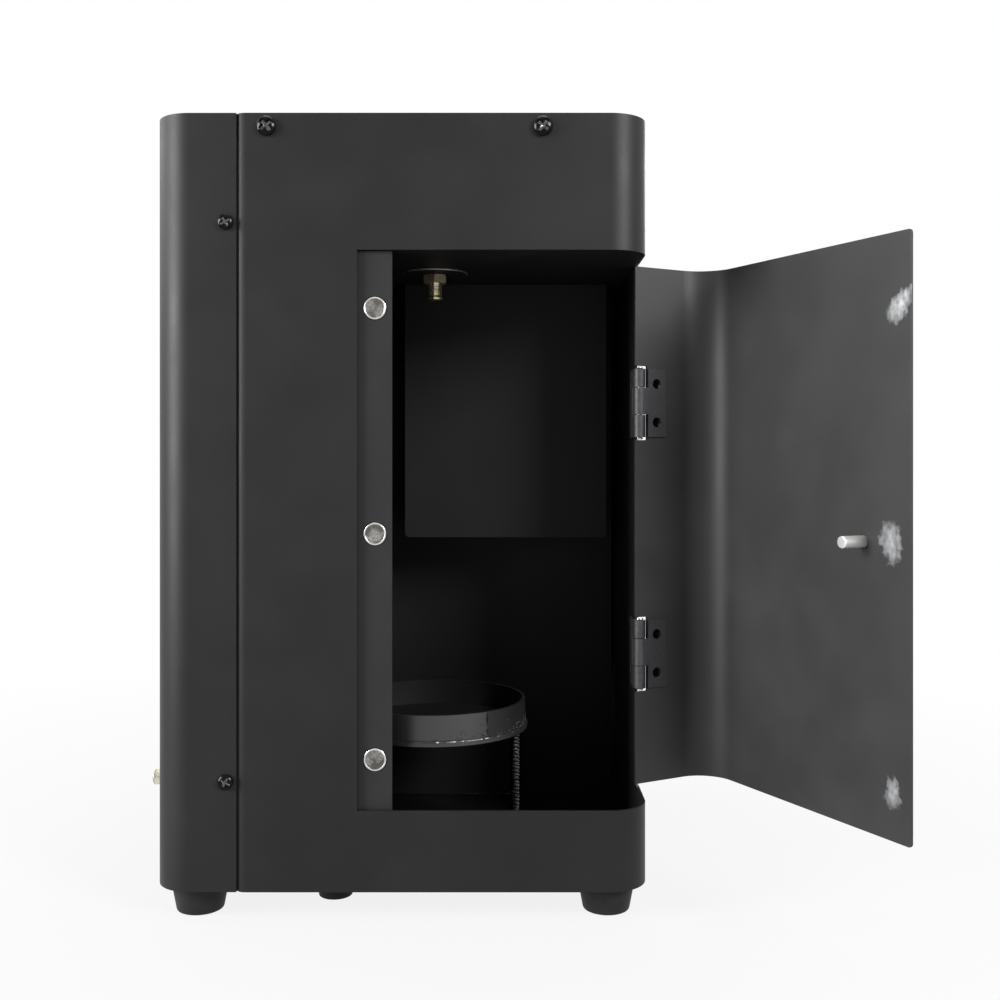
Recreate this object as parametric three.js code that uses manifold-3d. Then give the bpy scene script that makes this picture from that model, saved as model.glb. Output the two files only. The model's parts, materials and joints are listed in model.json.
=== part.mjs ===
// A stage flame machine: a sheet steel cabinet on four rubber feet, with a hinged door round its
// front right corner, a chamber that takes a fuel can, and a flame outlet on top.
// Millimetres, +Z up. The origin is on the floor, midway between the four feet.
// The door's wall faces +X, the cabinet's front faces -Y, and the door is shown standing open.
import * as THREE from 'three';
import { mergeVertices } from 'three/addons/utils/BufferGeometryUtils.js';
import Module from 'manifold-3d';

// Driving sizes of the cabinet
const cabinetWidth = 257;
const cabinetDepth = 250;
const cabinetHeight = 401;
const cornerRadius = 20;
const sheet = 1.5;
const footHeight = 16;

// The gap kept between pieces that seat on each other, and how far a cutter passes what it cuts
const fit = 0.3;
const overrun = 5;

// The door's opening, which runs round the front right corner, and the walls left below and above it
const openingWidth = 150.5;
const sillHeight = 41.9;
const lintelHeight = 70.4;
const hingeSetback = 49;
const doorGap = 1;
const doorOpenAngle = 118;

// The fuel can's upright axis, from the front and from the right hand face
const canFromFront = 74;
const canFromRight = 114.5;

// Planes that the pieces share
const left = -cabinetWidth / 2;
const right = cabinetWidth / 2;
const front = -cabinetDepth / 2;
const back = cabinetDepth / 2;
const shellBottom = footHeight;
const shellTop = footHeight + cabinetHeight;
const baseTop = shellBottom + sheet;
const openingLeft = right - openingWidth;
const openingBottom = shellBottom + sillHeight;
const openingTop = shellTop - lintelHeight;
const canX = right - canFromRight;
const canY = front + canFromFront;

// Facets on a full circle, by how large the round piece is
const smallSides = 10;
const fineSides = 16;
const roundSides = 18;
const wideSides = 40;
const bendSteps = 4;
const cornerSteps = 8;

// Solids: closed meshes that can be joined and cut

const wasm = await Module();
wasm.setup();

function signedVolume(positions, triangles) {
  const a = new THREE.Vector3();
  const b = new THREE.Vector3();
  const c = new THREE.Vector3();
  let volume = 0;
  for (let i = 0; i < triangles.length; i += 3) {
    a.fromArray(positions, triangles[i] * 3);
    b.fromArray(positions, triangles[i + 1] * 3);
    c.fromArray(positions, triangles[i + 2] * 3);
    volume += a.dot(b.cross(c)) / 6;
  }
  return volume;
}

// A solid from a geometry: shared corners merged, collapsed triangles dropped, faces pointing out
function solid(geometry) {
  const bare = geometry.clone();
  bare.deleteAttribute('normal');
  bare.deleteAttribute('uv');
  const merged = mergeVertices(bare);
  const positions = merged.attributes.position.array;
  const kept = [];
  for (let i = 0; i < merged.index.count; i += 3) {
    const corners = [0, 1, 2].map((k) => merged.index.getX(i + k));
    if (new Set(corners).size === 3) kept.push(...corners);
  }
  if (signedVolume(positions, kept) < 0) kept.reverse();
  const vertProperties = new Float32Array(positions);
  const triVerts = new Uint32Array(kept);
  return new wasm.Manifold(new wasm.Mesh({ numProp: 3, vertProperties, triVerts }));
}

function join(first, ...others) {
  return others.reduce((whole, other) => whole.add(other), first);
}

function cut(first, ...others) {
  return others.reduce((whole, other) => whole.subtract(other), first);
}

function geometryOf(body) {
  const mesh = body.getMesh();
  const geometry = new THREE.BufferGeometry();
  geometry.setAttribute('position', new THREE.BufferAttribute(new Float32Array(mesh.vertProperties), 3));
  geometry.setIndex(new THREE.BufferAttribute(new Uint32Array(mesh.triVerts), 1));
  return geometry;
}

// A block between two opposite corners
function block(x0, x1, y0, y1, z0, z1) {
  const shape = new THREE.BoxGeometry(x1 - x0, y1 - y0, z1 - z0);
  return solid(shape.translate((x0 + x1) / 2, (y0 + y1) / 2, (z0 + z1) / 2));
}

// Turning a shape made along +Z to lie along another axis, before it is moved to its place
const along = {
  up: (shape) => shape,
  down: (shape) => shape.rotateX(Math.PI),
  right: (shape) => shape.rotateY(Math.PI / 2),
  left: (shape) => shape.rotateY(-Math.PI / 2),
  back: (shape) => shape.rotateX(-Math.PI / 2),
  front: (shape) => shape.rotateX(Math.PI / 2),
};

// A round bar that starts at a point and runs a length along a named direction
function bar(x, y, z, direction, radius, length, sides = fineSides) {
  const shape = new THREE.CylinderGeometry(radius, radius, length, sides);
  shape.rotateX(Math.PI / 2).translate(0, 0, length / 2);
  return solid(along[direction](shape).translate(x, y, z));
}

// A hexagonal bar, sized by the distance across its flats
function hexBar(x, y, z, direction, acrossFlats, length) {
  return bar(x, y, z, direction, acrossFlats / Math.sqrt(3), length, 6);
}

// A turned piece from a profile of [radius, distance along the axis]
function turned(x, y, z, direction, profile, sides = roundSides) {
  const points = profile.map(([radius, height]) => new THREE.Vector2(radius, height));
  const shape = new THREE.LatheGeometry(points, sides);
  return solid(along[direction](shape.rotateX(Math.PI / 2)).translate(x, y, z));
}

// A flat outline in plan, raised from one height to another
function raised(shape, z0, z1, steps = bendSteps) {
  const settings = { depth: z1 - z0, bevelEnabled: false, curveSegments: steps };
  return solid(new THREE.ExtrudeGeometry(shape, settings).translate(0, 0, z0));
}

function roundedRectangle(x0, x1, y0, y1, radius) {
  const shape = new THREE.Shape();
  shape.moveTo(x0 + radius, y0);
  shape.lineTo(x1 - radius, y0);
  shape.absarc(x1 - radius, y0 + radius, radius, -Math.PI / 2, 0, false);
  shape.lineTo(x1, y1 - radius);
  shape.absarc(x1 - radius, y1 - radius, radius, 0, Math.PI / 2, false);
  shape.lineTo(x0 + radius, y1);
  shape.absarc(x0 + radius, y1 - radius, radius, Math.PI / 2, Math.PI, false);
  shape.lineTo(x0, y0 + radius);
  shape.absarc(x0 + radius, y0 + radius, radius, Math.PI, Math.PI * 1.5, false);
  return shape;
}

// A tube or wire along straight runs that meet in rounded corners
function routed(points, bendRadius, radius, sides, steps) {
  const corners = points.map((point) => new THREE.Vector3(...point));
  const route = new THREE.CurvePath();
  let start = corners[0];
  for (let i = 1; i < corners.length - 1; i += 1) {
    const inward = corners[i - 1].clone().sub(corners[i]).setLength(bendRadius);
    const outward = corners[i + 1].clone().sub(corners[i]).setLength(bendRadius);
    const before = corners[i].clone().add(inward);
    const after = corners[i].clone().add(outward);
    route.add(new THREE.LineCurve3(start, before));
    route.add(new THREE.QuadraticBezierCurve3(before, corners[i], after));
    start = after;
  }
  route.add(new THREE.LineCurve3(start, corners[corners.length - 1]));
  const section = new THREE.Shape();
  for (let i = 0; i < sides; i += 1) {
    const angle = (i / sides) * Math.PI * 2;
    const place = [radius * Math.cos(angle), radius * Math.sin(angle)];
    if (i === 0) section.moveTo(...place);
    else section.lineTo(...place);
  }
  return solid(new THREE.ExtrudeGeometry(section, { steps, extrudePath: route, bevelEnabled: false }));
}

// Finishes

function finish(color, roughness, metalness) {
  return new THREE.MeshStandardMaterial({ color, roughness, metalness });
}

const blackPaint = () => finish(0x33363a, 0.55, 0.1);
const blackRubber = () => finish(0x161616, 0.9, 0);
const blackPlastic = () => finish(0x1b1c1e, 0.5, 0);
const smokedAcrylic = () => finish(0x240808, 0.12, 0);
const brass = () => finish(0xc79a45, 0.28, 1);
const copper = () => finish(0xb8704a, 0.35, 1);
const nickel = () => finish(0xd6d7d8, 0.22, 1);
const zincSteel = () => finish(0x9fa3a6, 0.38, 1);
const darkSteel = () => finish(0x3b3c3e, 0.4, 1);
const stainless = () => finish(0xb9bcbe, 0.3, 1);
const ceramic = () => finish(0xe9e6dc, 0.45, 0);
const circuitBoard = () => finish(0x1f5a35, 0.55, 0);
const potting = () => finish(0x22262b, 0.6, 0);
const springSteel = () => finish(0x6e7072, 0.35, 1);

const machine = new THREE.Group();
machine.name = 'stage_flame_machine';

function place(name, body, material, group = machine) {
  const mesh = new THREE.Mesh(geometryOf(body), material);
  mesh.name = name;
  group.add(mesh);
  return mesh;
}

// Casing: a main shell and a control cover meet at a seam down the front and the back

const controlReach = 44.8;
const seamGap = 1;
const lapReach = 16;
const trayFlange = 12;
const flangeInset = sheet + fit;
const seamX = left + controlReach;
const lapLeft = seamX - lapReach;
const shellEdge = seamX + seamGap / 2;
const coverEdge = seamX - seamGap / 2;

// Pan head screws: the large pair holds the top plate, the small pair holds the control cover
const largeHeadRadius = 5;
const largeHeadHeight = 3.4;
const largeShankRadius = 2.5;
const smallHeadRadius = 4;
const smallHeadHeight = 2.8;
const smallShankRadius = 2;
const screwLength = 9;
const crossWidth = 1.1;
const crossReachShare = 0.55;
const crossDepthShare = 0.55;
const headCrownShare = 0.6;
const topScrewDrop = 7;
const topScrewFromLeft = 59.8;
const topScrewFromRight = 54.8;
const coverScrewFromSeam = 6;
const coverScrewDrop = 56.3;
const coverScrewRise = 56.8;
const topScrewZ = shellTop - topScrewDrop;
const topScrewPlaces = [left + topScrewFromLeft, right - topScrewFromRight];
const coverScrewX = seamX - coverScrewFromSeam;
const coverScrewHeights = [shellTop - coverScrewDrop, shellBottom + coverScrewRise];

// Vent slots in the back, level with the space above the chamber and with the power supply
const slotLength = 44;
const slotHeight = 3.4;
const slotPitch = 8;
const slotCount = 5;
const slotFromRight = 62;
const upperVentDrop = 54;
const lowerVentRise = 30;

// The bent sheet between the seam and the rounded corners, in plan, mirrored for the left side
function wrapOutline(edgeX, wallX) {
  const side = Math.sign(wallX);
  const turn = side < 0;
  const bendX = wallX - side * cornerRadius;
  const inner = cornerRadius - sheet;
  const flat = side > 0 ? 0 : Math.PI;
  const shape = new THREE.Shape();
  shape.moveTo(edgeX, front);
  shape.lineTo(bendX, front);
  shape.absarc(bendX, front + cornerRadius, cornerRadius, -Math.PI / 2, turn ? -Math.PI : 0, turn);
  shape.lineTo(wallX, back - cornerRadius);
  shape.absarc(bendX, back - cornerRadius, cornerRadius, flat, Math.PI / 2, turn);
  shape.lineTo(edgeX, back);
  shape.lineTo(edgeX, back - sheet);
  shape.lineTo(bendX, back - sheet);
  shape.absarc(bendX, back - cornerRadius, inner, Math.PI / 2, flat, !turn);
  shape.lineTo(wallX - side * sheet, front + cornerRadius);
  shape.absarc(bendX, front + cornerRadius, inner, turn ? -Math.PI : 0, -Math.PI / 2, !turn);
  shape.lineTo(edgeX, front + sheet);
  return shape;
}

// The shell's edge steps in behind the control cover, which laps over it
function seamLap(face, inward) {
  const outer = face + inward * flangeInset;
  const inner = outer + inward * sheet;
  const root = face + (inward * sheet) / 2;
  const low = baseTop + trayFlange;
  const high = shellTop - trayFlange - sheet;
  const strip = block(lapLeft, shellEdge + sheet, ...ordered(outer, inner), low, high);
  const step = block(shellEdge, shellEdge + sheet, ...ordered(root, inner), low, high);
  return join(strip, step);
}

function ordered(a, b) {
  return [Math.min(a, b), Math.max(a, b)];
}

function ventSlots(lowest) {
  const x1 = right - slotFromRight;
  const x0 = x1 - slotLength;
  const slots = [];
  for (let i = 0; i < slotCount; i += 1) {
    const z = lowest + i * slotPitch;
    slots.push(block(x0, x1, back - sheet - overrun, back + overrun, z, z + slotHeight));
  }
  return slots;
}

function screwHole(x, z, radius) {
  return bar(x, front - overrun, z, 'back', radius + fit, trayFlange + overrun, smallSides);
}

// Hinges: two steel butt hinges with their leaves inside the sheet and their knuckles in its gap
const hingeHeight = 38;
const hingeTopDrop = 76.6;
const hingeBottomRise = 72.7;
const pinProud = 0.5;
const pinRadius = 1.5;
const pinHeadRadius = 2.3;
const pinHeadHeight = 0.9;
const leafThickness = 1.1;
const leafWidth = 16;
const leafHoleRadius = 2.8;
const leafHoleSpacing = 21.4;
const leafHoleSetback = 9.5;
const doorLip = 4;
const edgeGap = 1.5;
const knuckleClearance = 0.35;
const lowestKnuckleShare = 0.33;
const doorKnuckleShare = 0.4;
const pinX = right + pinProud;
const pinY = front + hingeSetback;
const leafOuter = right - sheet - fit;
const leafInner = leafOuter - leafThickness;
const knuckleRadius = pinX - leafInner;
const hingeCentres = { upper: openingTop - hingeTopDrop, lower: openingBottom + hingeBottomRise };
// The door's edge reaches past the pins and swings inwards as the door opens, so the wall keeps clear of it
const doorEdgeY = pinY + doorLip;
const wallEdgeY = doorEdgeY + edgeGap;

function mainShell() {
  const wrap = raised(wrapOutline(shellEdge, right), shellBottom, shellTop, cornerSteps);
  const opening = block(
    openingLeft, right + overrun, front - overrun, wallEdgeY, openingBottom, openingTop,
  );
  const topHoles = topScrewPlaces.map((x) => screwHole(x, topScrewZ, largeShankRadius));
  const lapHoles = coverScrewHeights.map((z) => screwHole(coverScrewX, z, smallShankRadius));
  const vents = [...ventSlots(shellTop - upperVentDrop), ...ventSlots(shellBottom + lowerVentRise)];
  const whole = join(wrap, seamLap(front, 1), seamLap(back, -1));
  return cut(whole, opening, ...topHoles, ...lapHoles, ...vents);
}

// The panel of the control cover: what passes through the left hand wall, by its place
const displayWidth = 50;
const displayHeight = 20;
const displayDrop = 62;
const boardHeight = 86;
const boardDropBelowDisplay = 16;
const buttonCount = 4;
const buttonPitch = 18;
const buttonDrop = 96;
const buttonRadius = 3.8;
const buttonHoleGap = 0.4;
const socketRaise = 6.5;
const socketPitch = 46;
const socketBarrelRadius = 11.7;
const inletRise = 96;
const inletBodyWidth = 27;
const inletBodyHeight = 50;
const inletFlangeHeight = 62;
const terminalRise = 46;
const terminalFromFront = 50;
const terminalShankRadius = 2.5;
const displayZ = shellTop - displayDrop;
const buttonZ = shellTop - buttonDrop;
const inletZ = shellBottom + inletRise;
const boardMiddle = displayZ - boardDropBelowDisplay;

// The sockets sit a little above the middle of the room between the inlet and the board
const boardBottom = boardMiddle - boardHeight / 2;
const inletTop = inletZ + inletFlangeHeight / 2;
const socketZ = (inletTop + boardBottom) / 2 + socketRaise;
const terminalZ = shellBottom + terminalRise;
const terminalY = front + terminalFromFront;
const wallInside = left + sheet;
const buttonOffset = ((buttonCount - 1) / 2) * buttonPitch;
const buttonPlaces = Array.from({ length: buttonCount }, (_, i) => i * buttonPitch - buttonOffset);
const socketPlaces = { in: -socketPitch / 2, out: socketPitch / 2 };

function wallHole(y, z, radius) {
  return bar(left - overrun, y, z, 'right', radius, sheet + overrun * 2, fineSides);
}

function wallWindow(y, z, width, height) {
  const x1 = wallInside + overrun;
  return block(left - overrun, x1, y - width / 2, y + width / 2, z - height / 2, z + height / 2);
}

function controlCover() {
  const wrap = raised(wrapOutline(coverEdge, left), shellBottom, shellTop, cornerSteps);
  const screws = coverScrewHeights.map((z) => screwHole(coverScrewX, z, smallShankRadius));
  const buttons = buttonPlaces.map((y) => wallHole(y, buttonZ, buttonRadius + buttonHoleGap));
  const sockets = Object.values(socketPlaces).map((y) => wallHole(y, socketZ, socketBarrelRadius + fit));
  const display = wallWindow(0, displayZ, displayWidth, displayHeight);
  const inlet = wallWindow(0, inletZ, inletBodyWidth + fit * 2, inletBodyHeight + fit * 2);
  const terminal = wallHole(terminalY, terminalZ, terminalShankRadius + fit);
  return cut(wrap, ...screws, ...buttons, ...sockets, display, inlet, terminal);
}

// A flat tray inside the casing, its flanges turned away from its face
function tray(faceZ, towards) {
  const inset = flangeInset;
  const outline = roundedRectangle(
    left + inset, right - inset, front + inset, back - inset, cornerRadius - inset,
  );
  const plate = raised(outline, ...ordered(faceZ, faceZ + towards * sheet));
  const rise = ordered(faceZ, faceZ + towards * (sheet + trayFlange));
  const sides = [front + inset, back - inset - sheet].map((y) => (
    block(left + cornerRadius, right - cornerRadius, y, y + sheet, ...rise)
  ));
  const ends = [left + inset, right - inset - sheet].map((x) => (
    block(x, x + sheet, front + cornerRadius, back - cornerRadius, ...rise)
  ));
  return join(plate, ...sides, ...ends);
}

// Flame outlet: a spun collar dropped through the top plate, with the jet and electrodes in its floor
const collarRadius = 35;
const collarWall = 1.5;
const collarHeight = 20;
const collarDepth = 13;
const collarFlangeRadius = 46;
const collarBead = 1.4;
const jetShankRadius = 4;
const electrodeSpread = 17;
const insulatorRadius = 4;
const insulatorHeight = 17;
const insulatorDepth = 9;
const insulatorShoulder = 5.5;
const insulatorShoulderHeight = 3;
const collarFloor = shellTop - collarDepth;

function topPlate() {
  const outlet = bar(
    0, 0, shellTop - sheet - overrun, 'up', collarRadius + fit, sheet + overrun * 2, wideSides,
  );
  const holes = topScrewPlaces.map((x) => screwHole(x, topScrewZ, largeShankRadius));
  return cut(tray(shellTop, -1), outlet, ...holes);
}

// Feet: tapered rubber with a moulded-in stud
const footTopRadius = 15.5;
const footSoleRadius = 12.5;
const footSoleEdge = 1.2;
const footStudRadius = 2.5;
const footStudLength = 8;
const footFromSide = 20.5;
const footFromFront = 22;
const footPlaces = {
  front_left: [left + footFromSide, front + footFromFront],
  front_right: [right - footFromSide, front + footFromFront],
  back_left: [left + footFromSide, back - footFromFront],
  back_right: [right - footFromSide, back - footFromFront],
};

// The sprung cup that lifts the can against the fitting, and the tip-over switch under the base
const cupRadius = 52;
const cupWall = 1.8;
const cupFloor = 2;
const cupHeight = 16.4;
const cupLip = 1.3;
const cupRimZ = 101.9;
const cupTravel = 25;
const guideRodRadius = 2;
const guideRodSpread = 46.6;
const guideHeadRadius = 2.9;
const guideHeadHeight = 1.6;
const tipPlungerRadius = 9.25;
const tipStemRadius = 4;
const tipStemLength = 16;
const tipSwitchFromCan = 52.5;
const tipSwitchFromFront = 40;
const tipBodyWidth = 18;
const tipBodyHeight = 22;
const tipTravel = 6;
const cupUnder = cupRimZ - cupHeight;
const cupInside = cupUnder + cupFloor;
const guideRodPlaces = { left: canX - guideRodSpread, right: canX + guideRodSpread };
const tipX = canX - tipSwitchFromCan;
const tipY = front + tipSwitchFromFront;

function basePlate() {
  const low = shellBottom - overrun;
  const depth = sheet + overrun * 2;
  const studs = Object.values(footPlaces).map(([x, y]) => (
    bar(x, y, low, 'up', footStudRadius + fit, depth, smallSides)
  ));
  const rods = Object.values(guideRodPlaces).map((x) => (
    bar(x, canY, low, 'up', guideRodRadius + fit, depth, smallSides)
  ));
  const plunger = bar(tipX, tipY, low, 'up', tipStemRadius + fit, depth);
  return cut(tray(shellBottom, 1), ...studs, ...rods, plunger);
}

function foot(x, y) {
  const top = shellBottom - fit;
  const profile = [
    [0, 0],
    [footSoleRadius - footSoleEdge, 0],
    [footSoleRadius, footSoleEdge],
    [footTopRadius, top - footSoleEdge],
    [footTopRadius - footSoleEdge, top],
    [footStudRadius, top],
    [footStudRadius, top + footStudLength],
    [0, top + footStudLength],
  ];
  return turned(x, y, 0, 'up', profile);
}

// Pan head screw, head outwards on the front face, with its cross recess
function panScrew(x, z, headRadius, headHeight, shankRadius) {
  const profile = [
    [0, -screwLength],
    [shankRadius, -screwLength],
    [shankRadius, 0],
    [headRadius, 0],
    [headRadius, headHeight * headCrownShare * headCrownShare],
    [headRadius * headCrownShare, headHeight],
    [0, headHeight],
  ];
  const seat = front - fit;
  const screw = turned(x, seat, z, 'front', profile, fineSides);
  const reach = headRadius * crossReachShare;
  const y0 = seat - headHeight - overrun;
  const y1 = seat - headHeight * (1 - crossDepthShare);
  const half = crossWidth / 2;
  const upright = block(x - half, x + half, y0, y1, z - reach, z + reach);
  const level = block(x - reach, x + reach, y0, y1, z - half, z + half);
  return cut(screw, upright, level);
}

place('main_shell', mainShell(), blackPaint());
place('control_cover', controlCover(), blackPaint());
place('top_plate', topPlate(), blackPaint());
place('base_plate', basePlate(), blackPaint());
for (const [name, [x, y]] of Object.entries(footPlaces)) {
  place(`foot_${name}`, foot(x, y), blackRubber());
}
['left', 'right'].forEach((name, i) => {
  const screw = panScrew(topScrewPlaces[i], topScrewZ, largeHeadRadius, largeHeadHeight, largeShankRadius);
  place(`top_screw_${name}`, screw, darkSteel());
});
['upper', 'lower'].forEach((name, i) => {
  const z = coverScrewHeights[i];
  const screw = panScrew(coverScrewX, z, smallHeadRadius, smallHeadHeight, smallShankRadius);
  place(`cover_screw_${name}`, screw, darkSteel());
});

// Fuel can chamber: a bent liner makes its left and back walls and the strip that the door shuts on

const chamberDepth = 172;
const partitionClearance = 10;
const stripWidth = 17.8;
const stripRecess = 2.3;
const magnetRadius = 6;
const magnetThickness = 3;
const magnetProud = 0.4;
const magnetTopDrop = 29.8;
const magnetBottomRise = 25.7;
const cupReach = cupRadius + cupLip;
const linerLeft = canX - cupReach - partitionClearance;
const linerBack = front + chamberDepth;
const linerRight = right - (sheet + fit) * 2;
const stripFront = front + stripRecess;
const stripRight = openingLeft + stripWidth;
const magnetX = (openingLeft + stripRight) / 2;
const magnetTopZ = openingTop - magnetTopDrop;
const magnetBottomZ = openingBottom + magnetBottomRise;
const magnetHeights = {
  upper: magnetTopZ,
  middle: (magnetTopZ + magnetBottomZ) / 2,
  lower: magnetBottomZ,
};

function chamberLiner() {
  const low = baseTop + fit;
  const high = openingTop - fit;
  const strip = block(linerLeft, stripRight, stripFront, stripFront + sheet, low, high);
  const side = block(linerLeft, linerLeft + sheet, stripFront, linerBack, low, high);
  const rear = block(linerLeft, linerRight, linerBack - sheet, linerBack, low, high);
  const flange = block(
    linerLeft - overrun, stripRight + overrun, front, front + (sheet + fit) * 2,
    low - overrun, baseTop + trayFlange + fit,
  );
  const seats = Object.values(magnetHeights).map((z) => (
    bar(magnetX, front, z, 'back', magnetRadius + fit, stripRecess + sheet + overrun, roundSides)
  ));
  return cut(join(strip, side, rear), flange, ...seats);
}

// Can fitting: a brass valve stem receiver through the ceiling, over a thin round washer
const washerRadius = 19;
const washerThickness = 1;
const fittingHexFlats = 12.7;
const fittingHexHeight = 4.8;
const spigotRadius = 4;
const spigotLength = 9.5;
const spigotLip = 0.45;
const spigotLipHeight = 1.6;
const fittingStemRadius = 4.75;
const fittingStemLength = 11;
const fittingBore = 1.6;
const sealRadius = 3.1;
const sealDepth = 2.5;
const nutFlats = 14;
const nutHeight = 5;
const fittingHexTop = openingTop - washerThickness - fit * 2;
const fittingHexBottom = fittingHexTop - fittingHexHeight;
const fittingTip = fittingHexBottom - spigotLength;
const leadHoleRadius = 6;
const leadHoleInset = 18;

// The cover that hangs in the chamber behind the can, with the ignition transformer inside
const igniterFrontFromFront = 117;
const igniterLeftFromCan = 21;
const igniterWidth = 124;
const igniterHeight = 155.6;
const igniterSheet = 1.2;
const igniterCorner = 3;
const transformerWidth = 68;
const transformerDepth = 34;
const transformerHeight = 92;
const transformerFromLeft = 28;
const transformerDrop = 34;
const terminalPostRadius = 5;
const terminalPostHeight = 12;
const terminalPostSpread = 38;
const igniterLeft = canX - igniterLeftFromCan;
const igniterRight = igniterLeft + igniterWidth;
const igniterFront = front + igniterFrontFromFront;
const igniterBack = linerBack - sheet - fit;
const igniterTop = openingTop - fit;
const igniterBottom = igniterTop - igniterHeight;

// The ceiling follows the inside of the shell's rounded front corner
function chamberCeiling() {
  const inset = sheet + fit;
  const z0 = openingTop;
  const z1 = openingTop + sheet;
  const bend = cornerRadius - inset;
  const shape = new THREE.Shape();
  shape.moveTo(linerLeft, front + inset);
  shape.lineTo(right - cornerRadius, front + inset);
  shape.absarc(right - cornerRadius, front + cornerRadius, bend, -Math.PI / 2, 0, false);
  shape.lineTo(right - inset, linerBack);
  shape.lineTo(linerLeft, linerBack);
  const stem = bar(canX, canY, z0 - overrun, 'up', fittingStemRadius + fit, sheet + overrun * 2);
  const leads = bar(
    igniterLeft + leadHoleInset, (igniterFront + igniterBack) / 2, z0 - overrun, 'up',
    leadHoleRadius, sheet + overrun * 2,
  );
  return cut(raised(shape, z0, z1), stem, leads);
}

function magnet(z) {
  const y = stripFront - magnetProud;
  return bar(magnetX, y, z, 'back', magnetRadius, magnetThickness, roundSides);
}

// A box with rounded lower edges, seen from the front, standing between two depths
function hangingBox(x0, x1, y0, y1, z0, z1, radius) {
  const shape = new THREE.Shape();
  shape.moveTo(x0, -z1);
  shape.lineTo(x1, -z1);
  shape.lineTo(x1, -z0 - radius);
  shape.absarc(x1 - radius, -z0 - radius, radius, 0, Math.PI / 2, false);
  shape.lineTo(x0 + radius, -z0);
  shape.absarc(x0 + radius, -z0 - radius, radius, Math.PI / 2, Math.PI, false);
  const settings = { depth: y1 - y0, bevelEnabled: false, curveSegments: bendSteps };
  const box = new THREE.ExtrudeGeometry(shape, settings);
  return solid(box.rotateX(-Math.PI / 2).translate(0, y0, 0));
}

function igniterCover() {
  const outer = hangingBox(
    igniterLeft, igniterRight, igniterFront, igniterBack, igniterBottom, igniterTop, igniterCorner,
  );
  const inner = hangingBox(
    igniterLeft + igniterSheet, igniterRight - igniterSheet, igniterFront + igniterSheet,
    igniterBack + overrun, igniterBottom + igniterSheet, igniterTop + overrun,
    igniterCorner - igniterSheet,
  );
  return cut(outer, inner);
}

function ignitionTransformer() {
  const x0 = igniterLeft + transformerFromLeft;
  const x1 = x0 + transformerWidth;
  const y1 = igniterBack;
  const y0 = y1 - transformerDepth;
  const z1 = igniterTop - transformerDrop;
  const z0 = z1 - transformerHeight;
  const potted = block(x0, x1, y0, y1, z0, z1);
  const posts = [-1, 1].map((side) => bar(
    (x0 + x1) / 2 + (side * terminalPostSpread) / 2, (y0 + y1) / 2, z1 - fit, 'up',
    terminalPostRadius, terminalPostHeight + fit,
  ));
  return join(potted, ...posts);
}

function canFitting() {
  const hex = hexBar(canX, canY, fittingHexBottom, 'up', fittingHexFlats, fittingHexHeight);
  const stemTop = openingTop + fittingStemLength;
  const stemLength = stemTop - fittingHexBottom;
  const stem = bar(canX, canY, fittingHexBottom, 'up', fittingStemRadius, stemLength);
  const spigot = turned(canX, canY, fittingTip, 'up', [
    [0, 0],
    [spigotRadius + spigotLip, 0],
    [spigotRadius + spigotLip, spigotLipHeight],
    [spigotRadius, spigotLipHeight + spigotLip],
    [spigotRadius, spigotLength + fit],
    [0, spigotLength + fit],
  ], fineSides);
  const low = fittingTip - overrun;
  const bore = bar(canX, canY, low, 'up', fittingBore, stemTop - low + overrun);
  const sealSeat = bar(canX, canY, low, 'up', sealRadius + fit, sealDepth + fit + overrun);
  return cut(join(hex, stem, spigot), bore, sealSeat);
}

function ring(x, y, z, outerRadius, innerRadius, height, sides = roundSides) {
  const profile = [
    [innerRadius, 0],
    [outerRadius, 0],
    [outerRadius, height],
    [innerRadius, height],
    [innerRadius, 0],
  ];
  return turned(x, y, z, 'up', profile, sides);
}

function fittingSeal() {
  return ring(canX, canY, fittingTip, sealRadius, fittingBore, sealDepth, fineSides);
}

function fittingNut() {
  const z = openingTop + sheet + fit;
  const hole = bar(canX, canY, z - overrun, 'up', fittingStemRadius + fit, nutHeight + overrun * 2);
  return cut(hexBar(canX, canY, z, 'up', nutFlats, nutHeight), hole);
}

place('chamber_liner', chamberLiner(), blackPaint());
place('chamber_ceiling', chamberCeiling(), blackPaint());
for (const [name, z] of Object.entries(magnetHeights)) {
  place(`magnet_${name}`, magnet(z), nickel());
}
place('igniter_cover', igniterCover(), blackPaint());
place('ignition_transformer', ignitionTransformer(), potting());
place('can_fitting', canFitting(), brass());
place('fitting_washer', ring(
  canX, canY, openingTop - washerThickness - fit, washerRadius, fittingStemRadius + fit, washerThickness,
), blackPaint());
place('fitting_seal', fittingSeal(), blackRubber());
place('fitting_nut', fittingNut(), brass());

// Fuel line: from the fitting to a solenoid valve on the ceiling, and on to the jet

const pipeRadius = 2;
const pipeBend = 8;
const pipeSides = 6;
const pipeSteps = 20;
const valveFromCan = 33;
const valveLength = 30;
const valveWidth = 26;
const valveHeight = 26;
const valvePortHeight = 18;
const valveOutletInset = 8;
const valveEdge = 1.2;
const coilRadius = 13;
const coilLength = 36;
const coilCheekRadius = 13.6;
const coilCheek = 2.4;
const coilCoreRadius = 5;
const coilCoreProud = 3;
const outletPipeRise = 12;
const jetPortDrop = 12;
const valveX0 = canX + valveFromCan;
const valveX1 = valveX0 + valveLength;
const valveZ0 = openingTop + sheet + fit;
const valveZ1 = valveZ0 + valveHeight;
const valveFront = canY - valveWidth / 2;
const valveBack = canY + valveWidth / 2;
const portZ = valveZ0 + valvePortHeight;
const jetBottom = collarFloor - jetPortDrop;

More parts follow.
